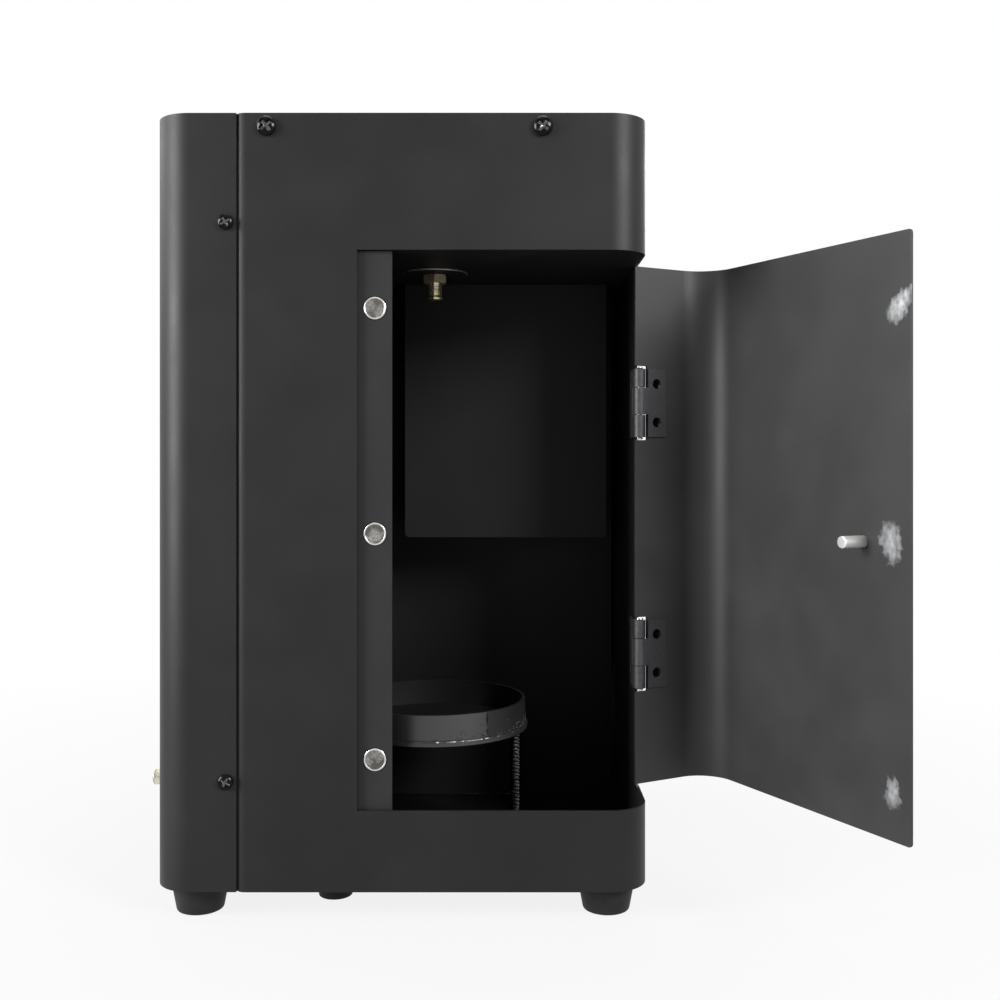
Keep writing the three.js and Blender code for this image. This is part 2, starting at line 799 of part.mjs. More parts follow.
function valveBody() {
  const width = valveWidth / 2;
  const outline = roundedRectangle(valveX0, valveX1, canY - width, canY + width, valveEdge);
  const inletPort = bar(valveX0 - overrun, canY, portZ, 'right', fittingBore, valveLength / 2 + overrun);
  const outletPort = bar(
    valveX0 + valveOutletInset, canY, portZ, 'up', fittingBore, valveZ1 - portZ + overrun,
  );
  return cut(raised(outline, valveZ0, valveZ1), inletPort, outletPort);
}

function valveCoil() {
  const x = (valveX0 + valveX1) / 2;
  const z = valveZ0 + coilCheekRadius;
  const profile = [
    [0, 0],
    [coilCheekRadius, 0],
    [coilCheekRadius, coilCheek],
    [coilRadius, coilCheek],
    [coilRadius, coilLength - coilCheek],
    [coilCheekRadius, coilLength - coilCheek],
    [coilCheekRadius, coilLength],
    [coilCoreRadius, coilLength],
    [coilCoreRadius, coilLength + coilCoreProud],
    [0, coilLength + coilCoreProud],
  ];
  return turned(x, valveBack + fit, z, 'back', profile);
}

function inletPipe() {
  const start = openingTop + fittingStemLength + fit;
  const points = [[canX, canY, start], [canX, canY, portZ], [valveX0 - fit, canY, portZ]];
  return routed(points, Math.min(pipeBend, portZ - start - fit), pipeRadius, pipeSides, pipeSteps);
}

function outletPipe() {
  const x = valveX0 + valveOutletInset;
  const high = valveZ1 + outletPipeRise;
  const points = [[x, canY, valveZ1 + fit], [x, canY, high], [0, 0, high], [0, 0, jetBottom - fit]];
  const bend = Math.min(pipeBend, outletPipeRise - fit, jetBottom - high);
  return routed(points, bend, pipeRadius, pipeSides, pipeSteps);
}

// The spun outlet collar: a beaded tube with a flange on the top plate and a floor below it
const jetShoulderRadius = 8;
const jetShoulderHeight = 5.5;
const jetTipRadius = 3.2;
const jetHeight = 24;
const jetBore = 1.2;
const jetGroove = 0.8;
const rodRadius = 1;
const rodRise = 7;
const rodTipGap = 5;
const rodBend = 2.5;
const rodSteps = 8;

function outletCollar() {
  const top = shellTop + collarHeight;
  const seat = shellTop + fit;
  const inner = collarRadius - collarWall;
  const profile = [
    [0, collarFloor],
    [collarRadius, collarFloor],
    [collarRadius, seat],
    [collarFlangeRadius, seat],
    [collarFlangeRadius, seat + collarWall],
    [collarRadius, seat + collarWall],
    [collarRadius, top - collarBead * 2],
    [collarRadius + collarBead, top - collarBead],
    [collarRadius, top],
    [inner, top],
    [inner, collarFloor + collarWall],
    [0, collarFloor + collarWall],
  ];
  const low = collarFloor - overrun;
  const depth = collarWall + overrun * 2;
  const jetHole = bar(0, 0, low, 'up', jetShankRadius + fit, depth);
  const holes = [-1, 1].map((side) => (
    bar(side * electrodeSpread, 0, low, 'up', insulatorRadius + fit, depth)
  ));
  return cut(turned(0, 0, 0, 'up', profile, wideSides), jetHole, ...holes);
}

function flameJet() {
  const seat = collarFloor + collarWall + fit;
  const shoulder = seat + jetShoulderHeight;
  const profile = [
    [jetBore, jetBottom],
    [jetShankRadius, jetBottom],
    [jetShankRadius, seat],
    [jetShoulderRadius, seat],
    [jetShoulderRadius, shoulder - jetGroove],
    [jetShoulderRadius - jetGroove, shoulder],
    [jetShankRadius + jetGroove, shoulder],
    [jetTipRadius, seat + jetHeight],
    [jetBore, seat + jetHeight],
    [jetBore, jetBottom],
  ];
  return turned(0, 0, 0, 'up', profile, fineSides);
}

// A ceramic bushing through the collar's floor, with a steel rod bent over towards the jet's tip
function electrode(side) {
  const x = side * electrodeSpread;
  const seat = collarFloor + collarWall + fit;
  const top = seat + insulatorHeight;
  const bushing = turned(x, 0, 0, 'up', [
    [0, seat - insulatorDepth],
    [insulatorRadius, seat - insulatorDepth],
    [insulatorRadius, seat],
    [insulatorShoulder, seat],
    [insulatorShoulder, seat + insulatorShoulderHeight],
    [insulatorRadius, seat + insulatorShoulderHeight],
    [insulatorRadius, top - rodRadius],
    [insulatorRadius - rodRadius, top],
    [0, top],
  ], fineSides);
  const tipZ = top + rodRise;
  const points = [[x, 0, top - rodRadius], [x, 0, tipZ], [side * rodTipGap, 0, tipZ]];
  return join(bushing, routed(points, rodBend, rodRadius, pipeSides, rodSteps));
}

place('valve_body', valveBody(), brass());
place('valve_coil', valveCoil(), blackPlastic());
place('fuel_inlet_pipe', inletPipe(), copper());
place('fuel_outlet_pipe', outletPipe(), copper());
place('outlet_collar', outletCollar(), stainless());
place('flame_jet', flameJet(), brass());
place('electrode_left', electrode(-1), ceramic());
place('electrode_right', electrode(1), ceramic());

// Fuel cup, guide rods, springs and tip-over switch

const springRadius = 3.85;
const springWire = 1;
const springTurns = 32;
const springSteps = 8;
const springSides = 5;

function fuelCup() {
  const inner = cupRadius - cupWall;
  const profile = [
    [0, cupUnder],
    [cupReach, cupUnder],
    [cupReach, cupInside],
    [cupRadius, cupInside],
    [cupRadius, cupRimZ],
    [inner, cupRimZ],
    [inner, cupInside],
    [0, cupInside],
  ];
  const holes = Object.values(guideRodPlaces).map((x) => (
    bar(x - canX, 0, cupUnder - overrun, 'up', guideRodRadius + fit, cupFloor + overrun * 2)
  ));
  return cut(turned(0, 0, 0, 'up', profile, wideSides), ...holes).translate(canX, canY, 0);
}

function guideRod(x) {
  const profile = [
    [0, shellBottom + fit],
    [guideRodRadius, shellBottom + fit],
    [guideRodRadius, cupInside + fit],
    [guideHeadRadius, cupInside + fit],
    [guideHeadRadius, cupInside + fit + guideHeadHeight],
    [0, cupInside + fit + guideHeadHeight],
  ];
  return turned(x, canY, 0, 'up', profile, fineSides);
}

// The middle line of a spring's wire: a straight end, the turns, and a straight end again.
// After n steps the wire is at the angle 2 pi n / steps and has climbed n / steps of a pitch.
function springLine(length) {
  const coil = length - springWire * 2;
  const total = springTurns * springSteps;
  const line = [{ angle: 0, z: 0 }];
  for (let i = 0; i <= total; i += 1) {
    line.push({ angle: (i / springSteps) * Math.PI * 2, z: springWire + (coil * i) / total });
  }
  line.push({ angle: line[total + 1].angle, z: length });
  return line.map(({ angle, z }) => ({
    outward: new THREE.Vector3(Math.cos(angle), Math.sin(angle), 0),
    point: new THREE.Vector3(springRadius * Math.cos(angle), springRadius * Math.sin(angle), z),
  }));
}

function leastSelfGap(line) {
  const apart = springSteps / 2;
  let least = Infinity;
  for (let i = 0; i < line.length; i += 1) {
    for (let k = i + apart; k < line.length; k += 1) {
      least = Math.min(least, line[i].point.distanceTo(line[k].point));
    }
  }
  return least - springWire;
}

// One unbroken tube: a ring of corners round each point of the line, square to it
function coilSpring(x, z, length) {
  const line = springLine(length);
  console.log(`spring at x ${x.toFixed(1)}: least gap to itself ${leastSelfGap(line).toFixed(2)} mm`);
  const corners = [];
  const faces = [];
  line.forEach(({ outward, point }, i) => {
    const before = line[Math.max(i - 1, 0)].point;
    const after = line[Math.min(i + 1, line.length - 1)].point;
    const forward = after.clone().sub(before).normalize();
    const across = forward.clone().cross(outward).normalize();
    for (let k = 0; k < springSides; k += 1) {
      const angle = (k / springSides) * Math.PI * 2;
      const corner = point.clone();
      corner.addScaledVector(outward, (Math.cos(angle) * springWire) / 2);
      corner.addScaledVector(across, (Math.sin(angle) * springWire) / 2);
      corners.push(corner.x, corner.y, corner.z);
    }
    if (i === 0) return;
    for (let k = 0; k < springSides; k += 1) {
      const next = (k + 1) % springSides;
      const low = (i - 1) * springSides;
      const high = i * springSides;
      faces.push(low + k, low + next, high + next, low + k, high + next, high + k);
    }
  });
  const last = (line.length - 1) * springSides;
  for (let k = 1; k < springSides - 1; k += 1) {
    faces.push(0, k + 1, k);
    faces.push(last, last + k, last + k + 1);
  }
  const geometry = new THREE.BufferGeometry();
  geometry.setAttribute('position', new THREE.BufferAttribute(new Float32Array(corners), 3));
  geometry.setIndex(faces);
  return solid(geometry.translate(x, canY, z));
}

function tipSwitchBody() {
  const half = tipBodyWidth / 2;
  const z0 = baseTop + fit;
  const body = block(tipX - half, tipX + half, tipY - half, tipY + half, z0, z0 + tipBodyHeight);
  const bore = bar(tipX, tipY, z0 - overrun, 'up', tipStemRadius + fit, tipStemLength + overrun);
  return cut(body, bore);
}

function tipPlunger() {
  const head = shellBottom - fit;
  const profile = [
    [0, fit],
    [tipPlungerRadius - footSoleEdge, fit],
    [tipPlungerRadius, fit + footSoleEdge],
    [tipPlungerRadius, head],
    [tipStemRadius, head],
    [tipStemRadius, head + tipStemLength],
    [0, head + tipStemLength],
  ];
  return turned(tipX, tipY, 0, 'up', profile, fineSides);
}

place('fuel_cup', fuelCup(), blackPaint());
for (const [name, x] of Object.entries(guideRodPlaces)) {
  place(`guide_rod_${name}`, guideRod(x), zincSteel());
  place(`cup_spring_${name}`, coilSpring(x, baseTop + fit, cupUnder - baseTop - fit * 2), springSteel());
}
place('tip_switch_body', tipSwitchBody(), blackPlastic());
place('tip_plunger', tipPlunger(), blackRubber());

// Control panel: board, display, buttons, sockets, inlet and earth terminal in the left hand wall

const boardWidth = 96;
const boardThickness = 1.6;
const boardSetback = 13;
const postRadius = 3;
const postInset = 6;
const displayDepth = 8;
const switchSize = 6;
const switchHeight = 6.6;
const windowThickness = 2;
const windowBorder = 4;
const buttonProud = 1.5;
const buttonTravel = 1.2;
const buttonCollarRadius = 5.4;
const buttonCollarThickness = 1;
const boardFace = wallInside + boardSetback;
const windowBack = wallInside + fit + windowThickness;

function displayWindow() {
  const halfWidth = displayWidth / 2 + windowBorder;
  const halfHeight = displayHeight / 2 + windowBorder;
  const pane = block(
    wallInside + fit, windowBack, -halfWidth, halfWidth, displayZ - halfHeight, displayZ + halfHeight,
  );
  const raisedWidth = displayWidth / 2 - fit;
  const raisedHeight = displayHeight / 2 - fit;
  const face = block(
    left + fit, windowBack, -raisedWidth, raisedWidth, displayZ - raisedHeight, displayZ + raisedHeight,
  );
  return join(pane, face);
}

function controlBoard() {
  const y0 = -boardWidth / 2;
  const z0 = boardBottom;
  const plate = block(
    boardFace, boardFace + boardThickness, y0, y0 + boardWidth, z0, z0 + boardHeight,
  );
  const display = block(
    boardFace - displayDepth, boardFace + boardThickness / 2, -displayWidth / 2, displayWidth / 2,
    displayZ - displayHeight / 2, displayZ + displayHeight / 2,
  );
  const half = switchSize / 2;
  const switches = buttonPlaces.map((y) => block(
    boardFace - switchHeight, boardFace + boardThickness / 2, y - half, y + half,
    buttonZ - half, buttonZ + half,
  ));
  const posts = [];
  for (const y of [y0 + postInset, y0 + boardWidth - postInset]) {
    for (const z of [z0 + postInset, z0 + boardHeight - postInset]) {
      const length = boardFace + boardThickness / 2 - wallInside - fit;
      posts.push(bar(wallInside + fit, y, z, 'right', postRadius, length));
    }
  }
  return join(plate, display, ...switches, ...posts);
}

function button(y) {
  const stop = boardFace - switchHeight - buttonTravel - fit;
  const start = left - buttonProud;
  const collar = wallInside + fit - start;
  const profile = [
    [0, 0],
    [buttonRadius - fit, 0],
    [buttonRadius, fit],
    [buttonRadius, collar],
    [buttonCollarRadius, collar],
    [buttonCollarRadius, collar + buttonCollarThickness],
    [buttonRadius, collar + buttonCollarThickness],
    [buttonRadius, stop - start],
    [0, stop - start],
  ];
  return turned(start, y, buttonZ, 'right', profile, smallSides);
}

// Three-pin data sockets: a square flange, a barrel through the wall, and pins or pin holes
const socketFlangeWidth = 26;
const socketFlangeHeight = 31;
const socketFlangeThickness = 2.2;
const socketFlangeCorner = 3;
const socketDepth = 22;
const socketBore = 9.5;
const socketBoreDepth = 12;
const plugPinRadius = 1.2;
const plugPinLength = 9;
const plugPinCircle = 4;
const plugInsertRadius = 7.6;

// The three pin places, as directions round the socket's axis
const pinAngles = [Math.PI / 2, Math.PI * (7 / 6), Math.PI * (11 / 6)];
const socketFace = left - fit - socketFlangeThickness;

function pinPlaces(y) {
  return pinAngles.map((angle) => [
    y + plugPinCircle * Math.cos(angle),
    socketZ + plugPinCircle * Math.sin(angle),
  ]);
}

function facePlate(y, z, width, height, thickness, radius) {
  const shape = roundedRectangle(-height / 2, height / 2, -width / 2, width / 2, radius);
  const settings = { depth: thickness, bevelEnabled: false, curveSegments: bendSteps };
  const plate = new THREE.ExtrudeGeometry(shape, settings).rotateY(Math.PI / 2);
  return solid(plate.translate(left - fit - thickness, y, z));
}

function socketShell(y) {
  const flange = facePlate(
    y, socketZ, socketFlangeWidth, socketFlangeHeight, socketFlangeThickness, socketFlangeCorner,
  );
  const barrel = bar(socketFace, y, socketZ, 'right', socketBarrelRadius, socketDepth, roundSides);
  return join(flange, barrel);
}

function dataIn(y) {
  const bore = bar(
    socketFace - overrun, y, socketZ, 'right', socketBore, socketBoreDepth + overrun, roundSides,
  );
  const root = socketFace + socketBoreDepth - plugPinLength;
  const pins = pinPlaces(y).map(([py, pz]) => (
    bar(root, py, pz, 'right', plugPinRadius, plugPinLength + sheet, smallSides)
  ));
  return join(cut(socketShell(y), bore), ...pins);
}

function dataOut(y) {
  const outer = bar(
    socketFace - overrun, y, socketZ, 'right', socketBore, socketBoreDepth + overrun, roundSides,
  );
  const insert = bar(socketFace, y, socketZ, 'right', plugInsertRadius, socketBoreDepth + sheet);
  const holes = pinPlaces(y).map(([py, pz]) => (
    bar(socketFace - overrun, py, pz, 'right', plugPinRadius + fit, plugPinLength + overrun, smallSides)
  ));
  return cut(join(cut(socketShell(y), outer), insert), ...holes);
}

// Mains inlet with a fuse drawer and a rocker switch in one frame
const inletFlangeWidth = 33;
const inletFlangeThickness = 2.6;
const inletFlangeCorner = 3;
const inletDepth = 27;
const cavityWidth = 24.4;
const cavityHeight = 16.4;
const cavityDepth = 16;
const cavityRise = 11;
const bladeWidth = 2;
const bladeHeight = 4;
const bladeSpread = 7;
const bladeOffset = 2;
const bladeLength = 12;
const drawerWidth = 20;
const drawerHeight = 7;
const drawerGroove = 0.8;
const rockerHalfHeight = 8;
const rockerWidth = 13;
const rockerRim = 2.6;
const rockerMiddle = 1;
const rockerPivotDepth = 1.5;
const rockerTilt = 10;
const rockerGap = 0.4;
const rockerRise = 15.6;
const inletFace = left - fit - inletFlangeThickness;
const rockerZ = inletZ + rockerRise;
const rockerPivotX = inletFace + rockerPivotDepth;
const rockerRadius = Math.hypot(rockerHalfHeight, rockerRim + rockerPivotDepth);

function powerInlet() {
  const flange = facePlate(
    0, inletZ, inletFlangeWidth, inletFlangeHeight, inletFlangeThickness, inletFlangeCorner,
  );
  const width = inletBodyWidth / 2;
  const height = inletBodyHeight / 2;
  const body = block(
    inletFace + fit, inletFace + inletDepth, -width, width, inletZ - height, inletZ + height,
  );
  const cavityZ = inletZ - cavityRise;
  const cavity = block(
    inletFace - overrun, inletFace + cavityDepth, -cavityWidth / 2, cavityWidth / 2,
    cavityZ - cavityHeight / 2, cavityZ + cavityHeight / 2,
  );
  const blades = [[-bladeSpread, -bladeOffset], [0, bladeOffset], [bladeSpread, -bladeOffset]];
  const pins = blades.map(([y, z]) => block(
    inletFace + cavityDepth - bladeLength, inletFace + cavityDepth + sheet,
    y - bladeWidth / 2, y + bladeWidth / 2,
    cavityZ + z - bladeHeight / 2, cavityZ + z + bladeHeight / 2,
  ));
  const drawerZ = cavityZ + cavityHeight / 2 + drawerHeight / 2 + drawerGroove;
  const groove = drawerGroove / 2;
  const drawerRim = cut(
    block(
      inletFace - overrun, inletFace + drawerGroove, -drawerWidth / 2, drawerWidth / 2,
      drawerZ - drawerHeight / 2, drawerZ + drawerHeight / 2,
    ),
    block(
      inletFace - overrun * 2, inletFace + drawerGroove * 2,
      groove - drawerWidth / 2, drawerWidth / 2 - groove,
      drawerZ - drawerHeight / 2 + groove, drawerZ + drawerHeight / 2 - groove,
    ),
  );
  const reach = rockerRadius + rockerGap;
  const rockerWell = block(
    inletFace - overrun, rockerPivotX + reach, -rockerWidth / 2 - fit, rockerWidth / 2 + fit,
    rockerZ - reach, rockerZ + reach,
  );
  return join(cut(join(flange, body), cavity, drawerRim, rockerWell), ...pins);
}

// The rocker's side view: two shallow slopes over an arc about its pivot
function powerRocker() {
  const start = Math.atan2(rockerRim + rockerPivotDepth, rockerHalfHeight);
  const shape = new THREE.Shape();
  shape.moveTo(-rockerHalfHeight, rockerRim + rockerPivotDepth);
  shape.lineTo(0, rockerMiddle + rockerPivotDepth);
  shape.lineTo(rockerHalfHeight, rockerRim + rockerPivotDepth);
  shape.absarc(0, 0, rockerRadius, start, Math.PI - start, true);
  const settings = { depth: rockerWidth, bevelEnabled: false, curveSegments: fineSides / 2 };
  const rocker = new THREE.ExtrudeGeometry(shape, settings).translate(0, 0, -rockerWidth / 2);
  return solid(rocker.rotateX(Math.PI / 2).rotateY(-Math.PI / 2));
}

// Earth terminal: a brass stud with a lock nut and a round thumb nut
const terminalLength = 12.2;
const terminalInside = 4;
const lockNutFlats = 8;
const lockNutHeight = 3.2;
const thumbNutRadius = 4.2;
const thumbNutHeight = 6;
const thumbNutEdge = 0.6;

function earthTerminal() {
  const seat = left - fit;
  const inside = sheet + fit + terminalInside;
  const thumb = terminalLength - thumbNutHeight;
  const stud = turned(seat, terminalY, terminalZ, 'left', [
    [0, -inside],
    [terminalShankRadius, -inside],
    [terminalShankRadius, thumb],
    [thumbNutRadius - thumbNutEdge, thumb],
    [thumbNutRadius, thumb + thumbNutEdge],
    [thumbNutRadius, terminalLength - thumbNutEdge],
    [thumbNutRadius - thumbNutEdge, terminalLength],
    [0, terminalLength],
  ], fineSides);
  return join(stud, hexBar(seat, terminalY, terminalZ, 'left', lockNutFlats, lockNutHeight));
}

// Power supply on the base, behind the control cover
const supplyWidth = 50;
const supplyLength = 99;
const supplyHeight = 36;
const supplyFromSeam = 8;
const supplyBoardThickness = 1.6;
const supplyTerminalLength = 14;
const supplyTerminalHeight = 15;
const supplyTerminalInset = 4;
const supplySheet = 1.2;

function powerSupply() {
  const x1 = linerLeft - supplyFromSeam;
  const x0 = x1 - supplyWidth;
  const y0 = -supplyLength / 2;
  const y1 = supplyLength / 2;
  const z0 = baseTop + fit;
  const z1 = z0 + supplyHeight;
  const box = block(x0, x1, y0, y1, z0, z1);
  const ledge = block(
    x0 + supplySheet, x1 - supplySheet, y1 - supplyTerminalLength, y1 + overrun,
    z0 + supplySheet + supplyBoardThickness, z1 + overrun,
  );
  const terminals = block(
    x0 + supplyTerminalInset, x1 - supplyTerminalInset, y1 - supplyTerminalLength - sheet,
    y1 - supplySheet, z0 + supplySheet, z0 + supplyTerminalHeight,
  );
  return join(cut(box, ledge), terminals);
}

place('display_window', displayWindow(), smokedAcrylic());
place('control_board', controlBoard(), circuitBoard());
['up', 'down', 'menu', 'enter'].forEach((name, i) => {
  place(`button_${name}`, button(buttonPlaces[i]), blackPlastic());
});
place('dmx_in_socket', dataIn(socketPlaces.in), nickel());
place('dmx_out_socket', dataOut(socketPlaces.out), nickel());
place('power_inlet', powerInlet(), blackPlastic());
const rocker = place('power_rocker', powerRocker(), blackPlastic());
rocker.position.set(rockerPivotX, 0, rockerZ);
rocker.rotation.y = THREE.MathUtils.degToRad(-rockerTilt);
place('earth_terminal', earthTerminal(), brass());
place('power_supply', powerSupply(), zincSteel());

// Door: bent round the cabinet's corner, modelled shut and then swung open on its hinge pins

const doorCornerRadius = 1.8;
const knobFromEdge = 31;
const knobRise = 141.1;
const knobRadius = 10;
const knobHeight = 15;
const knobNeckRadius = 6.5;
const knobNeckHeight = 5;
const knobEdge = 2;
const knobShankRadius = 3;
const knobShankInside = 14;
const doorLeft = openingLeft + doorGap;
const doorBottom = openingBottom + doorGap;
const doorTop = openingTop - doorGap;
const knobX = openingLeft + knobFromEdge;
const knobZ = openingBottom + knobRise;

const shutDoor = new THREE.Group();
shutDoor.position.set(-pinX, -pinY, 0);
const swungDoor = new THREE.Group();
swungDoor.position.set(pinX, pinY, 0);
swungDoor.rotation.z = THREE.MathUtils.degToRad(doorOpenAngle);
swungDoor.add(shutDoor);
machine.add(swungDoor);

// Room for the knuckles in the door's edge
function knuckleNotches() {
  const reach = knuckleRadius + knuckleClearance;
  return Object.values(hingeCentres).map((centre) => {
    const half = hingeHeight / 2 + fit + pinHeadHeight + knuckleClearance;
    const y1 = doorEdgeY + overrun;
    return block(leafOuter, right + overrun, pinY - reach, y1, centre - half, centre + half);
  });
}

function doorPanel() {
  const bendX = right - cornerRadius;
  const bendY = front + cornerRadius;
  const inner = cornerRadius - sheet;
  const shape = new THREE.Shape();
  shape.moveTo(doorLeft, front);
  shape.lineTo(bendX, front);
  shape.absarc(bendX, bendY, cornerRadius, -Math.PI / 2, 0, false);
  shape.lineTo(right, doorEdgeY);
  shape.lineTo(right - sheet, doorEdgeY);
  shape.lineTo(right - sheet, bendY);
  shape.absarc(bendX, bendY, inner, 0, -Math.PI / 2, true);
  shape.lineTo(doorLeft, front + sheet);
  const corners = roundedRectangle(doorLeft, right + overrun * 2, -doorTop, -doorBottom, doorCornerRadius);
  const depth = cabinetDepth;
  const settings = { depth, bevelEnabled: false, curveSegments: bendSteps };
  const face = new THREE.ExtrudeGeometry(corners, settings).rotateX(-Math.PI / 2);
  const rounded = solid(face.translate(0, front - overrun, 0));
  const shank = bar(knobX, front - overrun, knobZ, 'back', knobShankRadius + fit, sheet + overrun * 2);
  const bent = raised(shape, doorBottom, doorTop, cornerSteps).intersect(rounded);
  return cut(bent, shank, ...knuckleNotches());
}

// The knob is turned in one piece with its shank, which ends inside the chamber
function doorKnob() {
  const inside = sheet + fit + knobShankInside;
  const profile = [
    [0, -inside],
    [knobShankRadius - fit, -inside],
    [knobShankRadius, fit - inside],
    [knobShankRadius, 0],
    [knobNeckRadius, 0],
    [knobNeckRadius, knobNeckHeight],
    [knobRadius, knobNeckHeight + knobEdge],
    [knobRadius, knobHeight - knobEdge],
    [knobRadius - knobEdge, knobHeight],
    [0, knobHeight],
  ];
  return turned(knobX, front - fit, knobZ, 'front', profile);
}

// The heights of a hinge's three knuckles, from the lowest: frame, door, frame
function knuckleSpans(centre) {
  const bottom = centre - hingeHeight / 2;
  const first = bottom + hingeHeight * lowestKnuckleShare;
  const second = first + hingeHeight * doorKnuckleShare;
  const half = fit / 2;
  return {
    frame: [[bottom, first - half], [second + half, bottom + hingeHeight]],
    door: [[first + half, second - half]],
  };
}

function hingeLeaf(centre, owner, towards) {
  const spans = knuckleSpans(centre);
  const own = spans[owner];
  const others = owner === 'frame' ? spans.door : spans.frame;
  const low = centre - hingeHeight / 2;
  const high = centre + hingeHeight / 2;
  const plate = block(leafInner, leafOuter, ...ordered(pinY, pinY + towards * leafWidth), low, high);
  const clearance = knuckleRadius + knuckleClearance;
  const gaps = others.map(([z0, z1]) => block(
    leafInner - overrun, leafOuter + overrun,
    ...ordered(pinY - towards * overrun, pinY + towards * clearance), z0 - fit, z1 + fit,
  ));
  const knuckles = own.map(([z0, z1]) => bar(pinX, pinY, z0, 'up', knuckleRadius, z1 - z0));
  const bore = bar(pinX, pinY, low - overrun, 'up', pinRadius + fit, hingeHeight + overrun * 2, smallSides);
  const holeY = pinY + towards * leafHoleSetback;
  const holes = [-1, 1].map((side) => bar(
    leafInner - overrun, holeY, centre + (side * leafHoleSpacing) / 2, 'right',
    leafHoleRadius, leafThickness + overrun * 2, smallSides,
  ));
  return cut(join(cut(plate, ...gaps), ...knuckles), bore, ...holes);
}

function hingePin(centre) {
  const half = hingeHeight / 2 + fit;
  const profile = [
    [0, -half - pinHeadHeight],
    [pinHeadRadius - pinHeadHeight / 2, -half - pinHeadHeight],
    [pinHeadRadius, -half - pinHeadHeight / 2],
    [pinHeadRadius, -half],
    [pinRadius, -half],
    [pinRadius, half],
    [pinHeadRadius, half],
    [pinHeadRadius, half + pinHeadHeight / 2],
    [pinHeadRadius - pinHeadHeight / 2, half + pinHeadHeight],
    [0, half + pinHeadHeight],
  ];
  return turned(pinX, pinY, centre, 'up', profile, smallSides);
}

place('door_panel', doorPanel(), blackPaint(), shutDoor);
place('door_knob', doorKnob(), nickel(), shutDoor);
for (const [name, centre] of Object.entries(hingeCentres)) {
  place(`${name}_hinge_frame_leaf`, hingeLeaf(centre, 'frame', 1), darkSteel());
  place(`${name}_hinge_door_leaf`, hingeLeaf(centre, 'door', -1), darkSteel(), shutDoor);
  place(`${name}_hinge_pin`, hingePin(centre), zincSteel());
}

export default machine;
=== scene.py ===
# %% [markdown]
# This scene dresses a stage flame machine: a black powder coated sheet steel cabinet with a hinged
# door, a chamber for a fuel can, and a flame outlet on top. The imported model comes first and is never
# changed. A piece whose shape is right gets a copy with rounded edges and a finish made for it, and a
# piece that is turned, wound, knurled or pressed on the real object is worked out again with numpy.
# All lengths below are written in millimetres and become metres when a mesh is made.

# %% Load the fixed frame
import json
import math

import bmesh
import bpy
import numpy as np
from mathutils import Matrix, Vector

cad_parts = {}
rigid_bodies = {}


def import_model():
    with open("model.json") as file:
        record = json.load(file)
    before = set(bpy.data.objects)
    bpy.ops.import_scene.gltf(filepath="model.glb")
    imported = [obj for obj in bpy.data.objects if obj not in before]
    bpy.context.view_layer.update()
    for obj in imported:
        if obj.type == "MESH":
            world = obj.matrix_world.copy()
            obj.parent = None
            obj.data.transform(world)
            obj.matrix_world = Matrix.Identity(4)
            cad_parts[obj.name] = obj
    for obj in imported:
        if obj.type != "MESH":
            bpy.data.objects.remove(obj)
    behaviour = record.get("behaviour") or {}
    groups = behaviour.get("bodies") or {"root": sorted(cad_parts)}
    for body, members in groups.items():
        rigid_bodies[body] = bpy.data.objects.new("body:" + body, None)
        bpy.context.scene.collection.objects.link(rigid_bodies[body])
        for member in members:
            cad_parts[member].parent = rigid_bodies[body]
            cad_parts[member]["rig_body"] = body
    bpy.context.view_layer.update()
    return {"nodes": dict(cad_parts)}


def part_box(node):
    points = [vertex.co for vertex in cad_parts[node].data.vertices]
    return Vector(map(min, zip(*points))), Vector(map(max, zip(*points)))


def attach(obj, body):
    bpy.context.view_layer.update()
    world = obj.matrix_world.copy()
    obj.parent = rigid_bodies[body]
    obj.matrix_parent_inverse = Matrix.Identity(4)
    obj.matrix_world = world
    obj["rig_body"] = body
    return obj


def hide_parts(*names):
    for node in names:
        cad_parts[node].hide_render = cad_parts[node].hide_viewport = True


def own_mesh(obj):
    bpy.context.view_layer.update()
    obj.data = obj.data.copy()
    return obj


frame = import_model()
nodes = frame["nodes"]
MM = 0.001


# %% Read places from the frame
def span(node):
    """Lowest and highest corner of a node's box, in millimetres."""
    low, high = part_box(node)
    return np.array(low) / MM, np.array(high) / MM


def middle(node):
    """The centre of a node's box: the mean of its two corners."""
    low, high = span(node)
    return (low + high) / 2


def whole(node):
    """A node's lowest corner, highest corner, centre and half its width from left to right."""
    low, high = span(node)
    return low, high, middle(node), (high[0] - low[0]) / 2


def away(corners, centre, plane=(0, 1)):
    """How far corners lie from an axis through a centre, measured in the plane of two coordinates."""
    first, second = plane
    return np.hypot(corners[:, first] - centre[0], corners[:, second] - centre[1])


def in_scene(name, data):
    """A new object in the scene, from a mesh, a lamp's data or a camera's."""
    made = bpy.data.objects.new(name, data)
    bpy.context.scene.collection.objects.link(made)
    return made


def circle(count):
    """That many angles round a circle."""
    return np.linspace(0, 2 * np.pi, count, endpoint=False)


def outwards(angle):
    """Level directions at the angles."""
    return np.stack([np.cos(angle), np.sin(angle), np.zeros_like(angle)], axis=1)


# The gap left between the casing and what sits on it: feet, plunger, front screws, knob and terminal
SEAT_GAP = 0.3
shell_low, shell_high = span("main_shell")
cover_low, cover_high = span("control_cover")
FRONT, BACK, WALL = cover_low[1], cover_high[1], cover_low[0]
print("cabinet", np.round(shell_high - np.minimum(shell_low, cover_low), 1), "mm")

# %% [markdown]
# The camera stands 600 mm in front of the cabinet, level with the middle of the door, and looks
# straight along +Y. A level camera keeps upright edges upright, as in the photograph, and a small
# shift lowers its view instead of a tilt.

# %% Place the camera
EYE = (51.5, -725.0, 238.9)
LENS = 42.0
SENSOR = 36.0
VIEW_DROP = -0.041

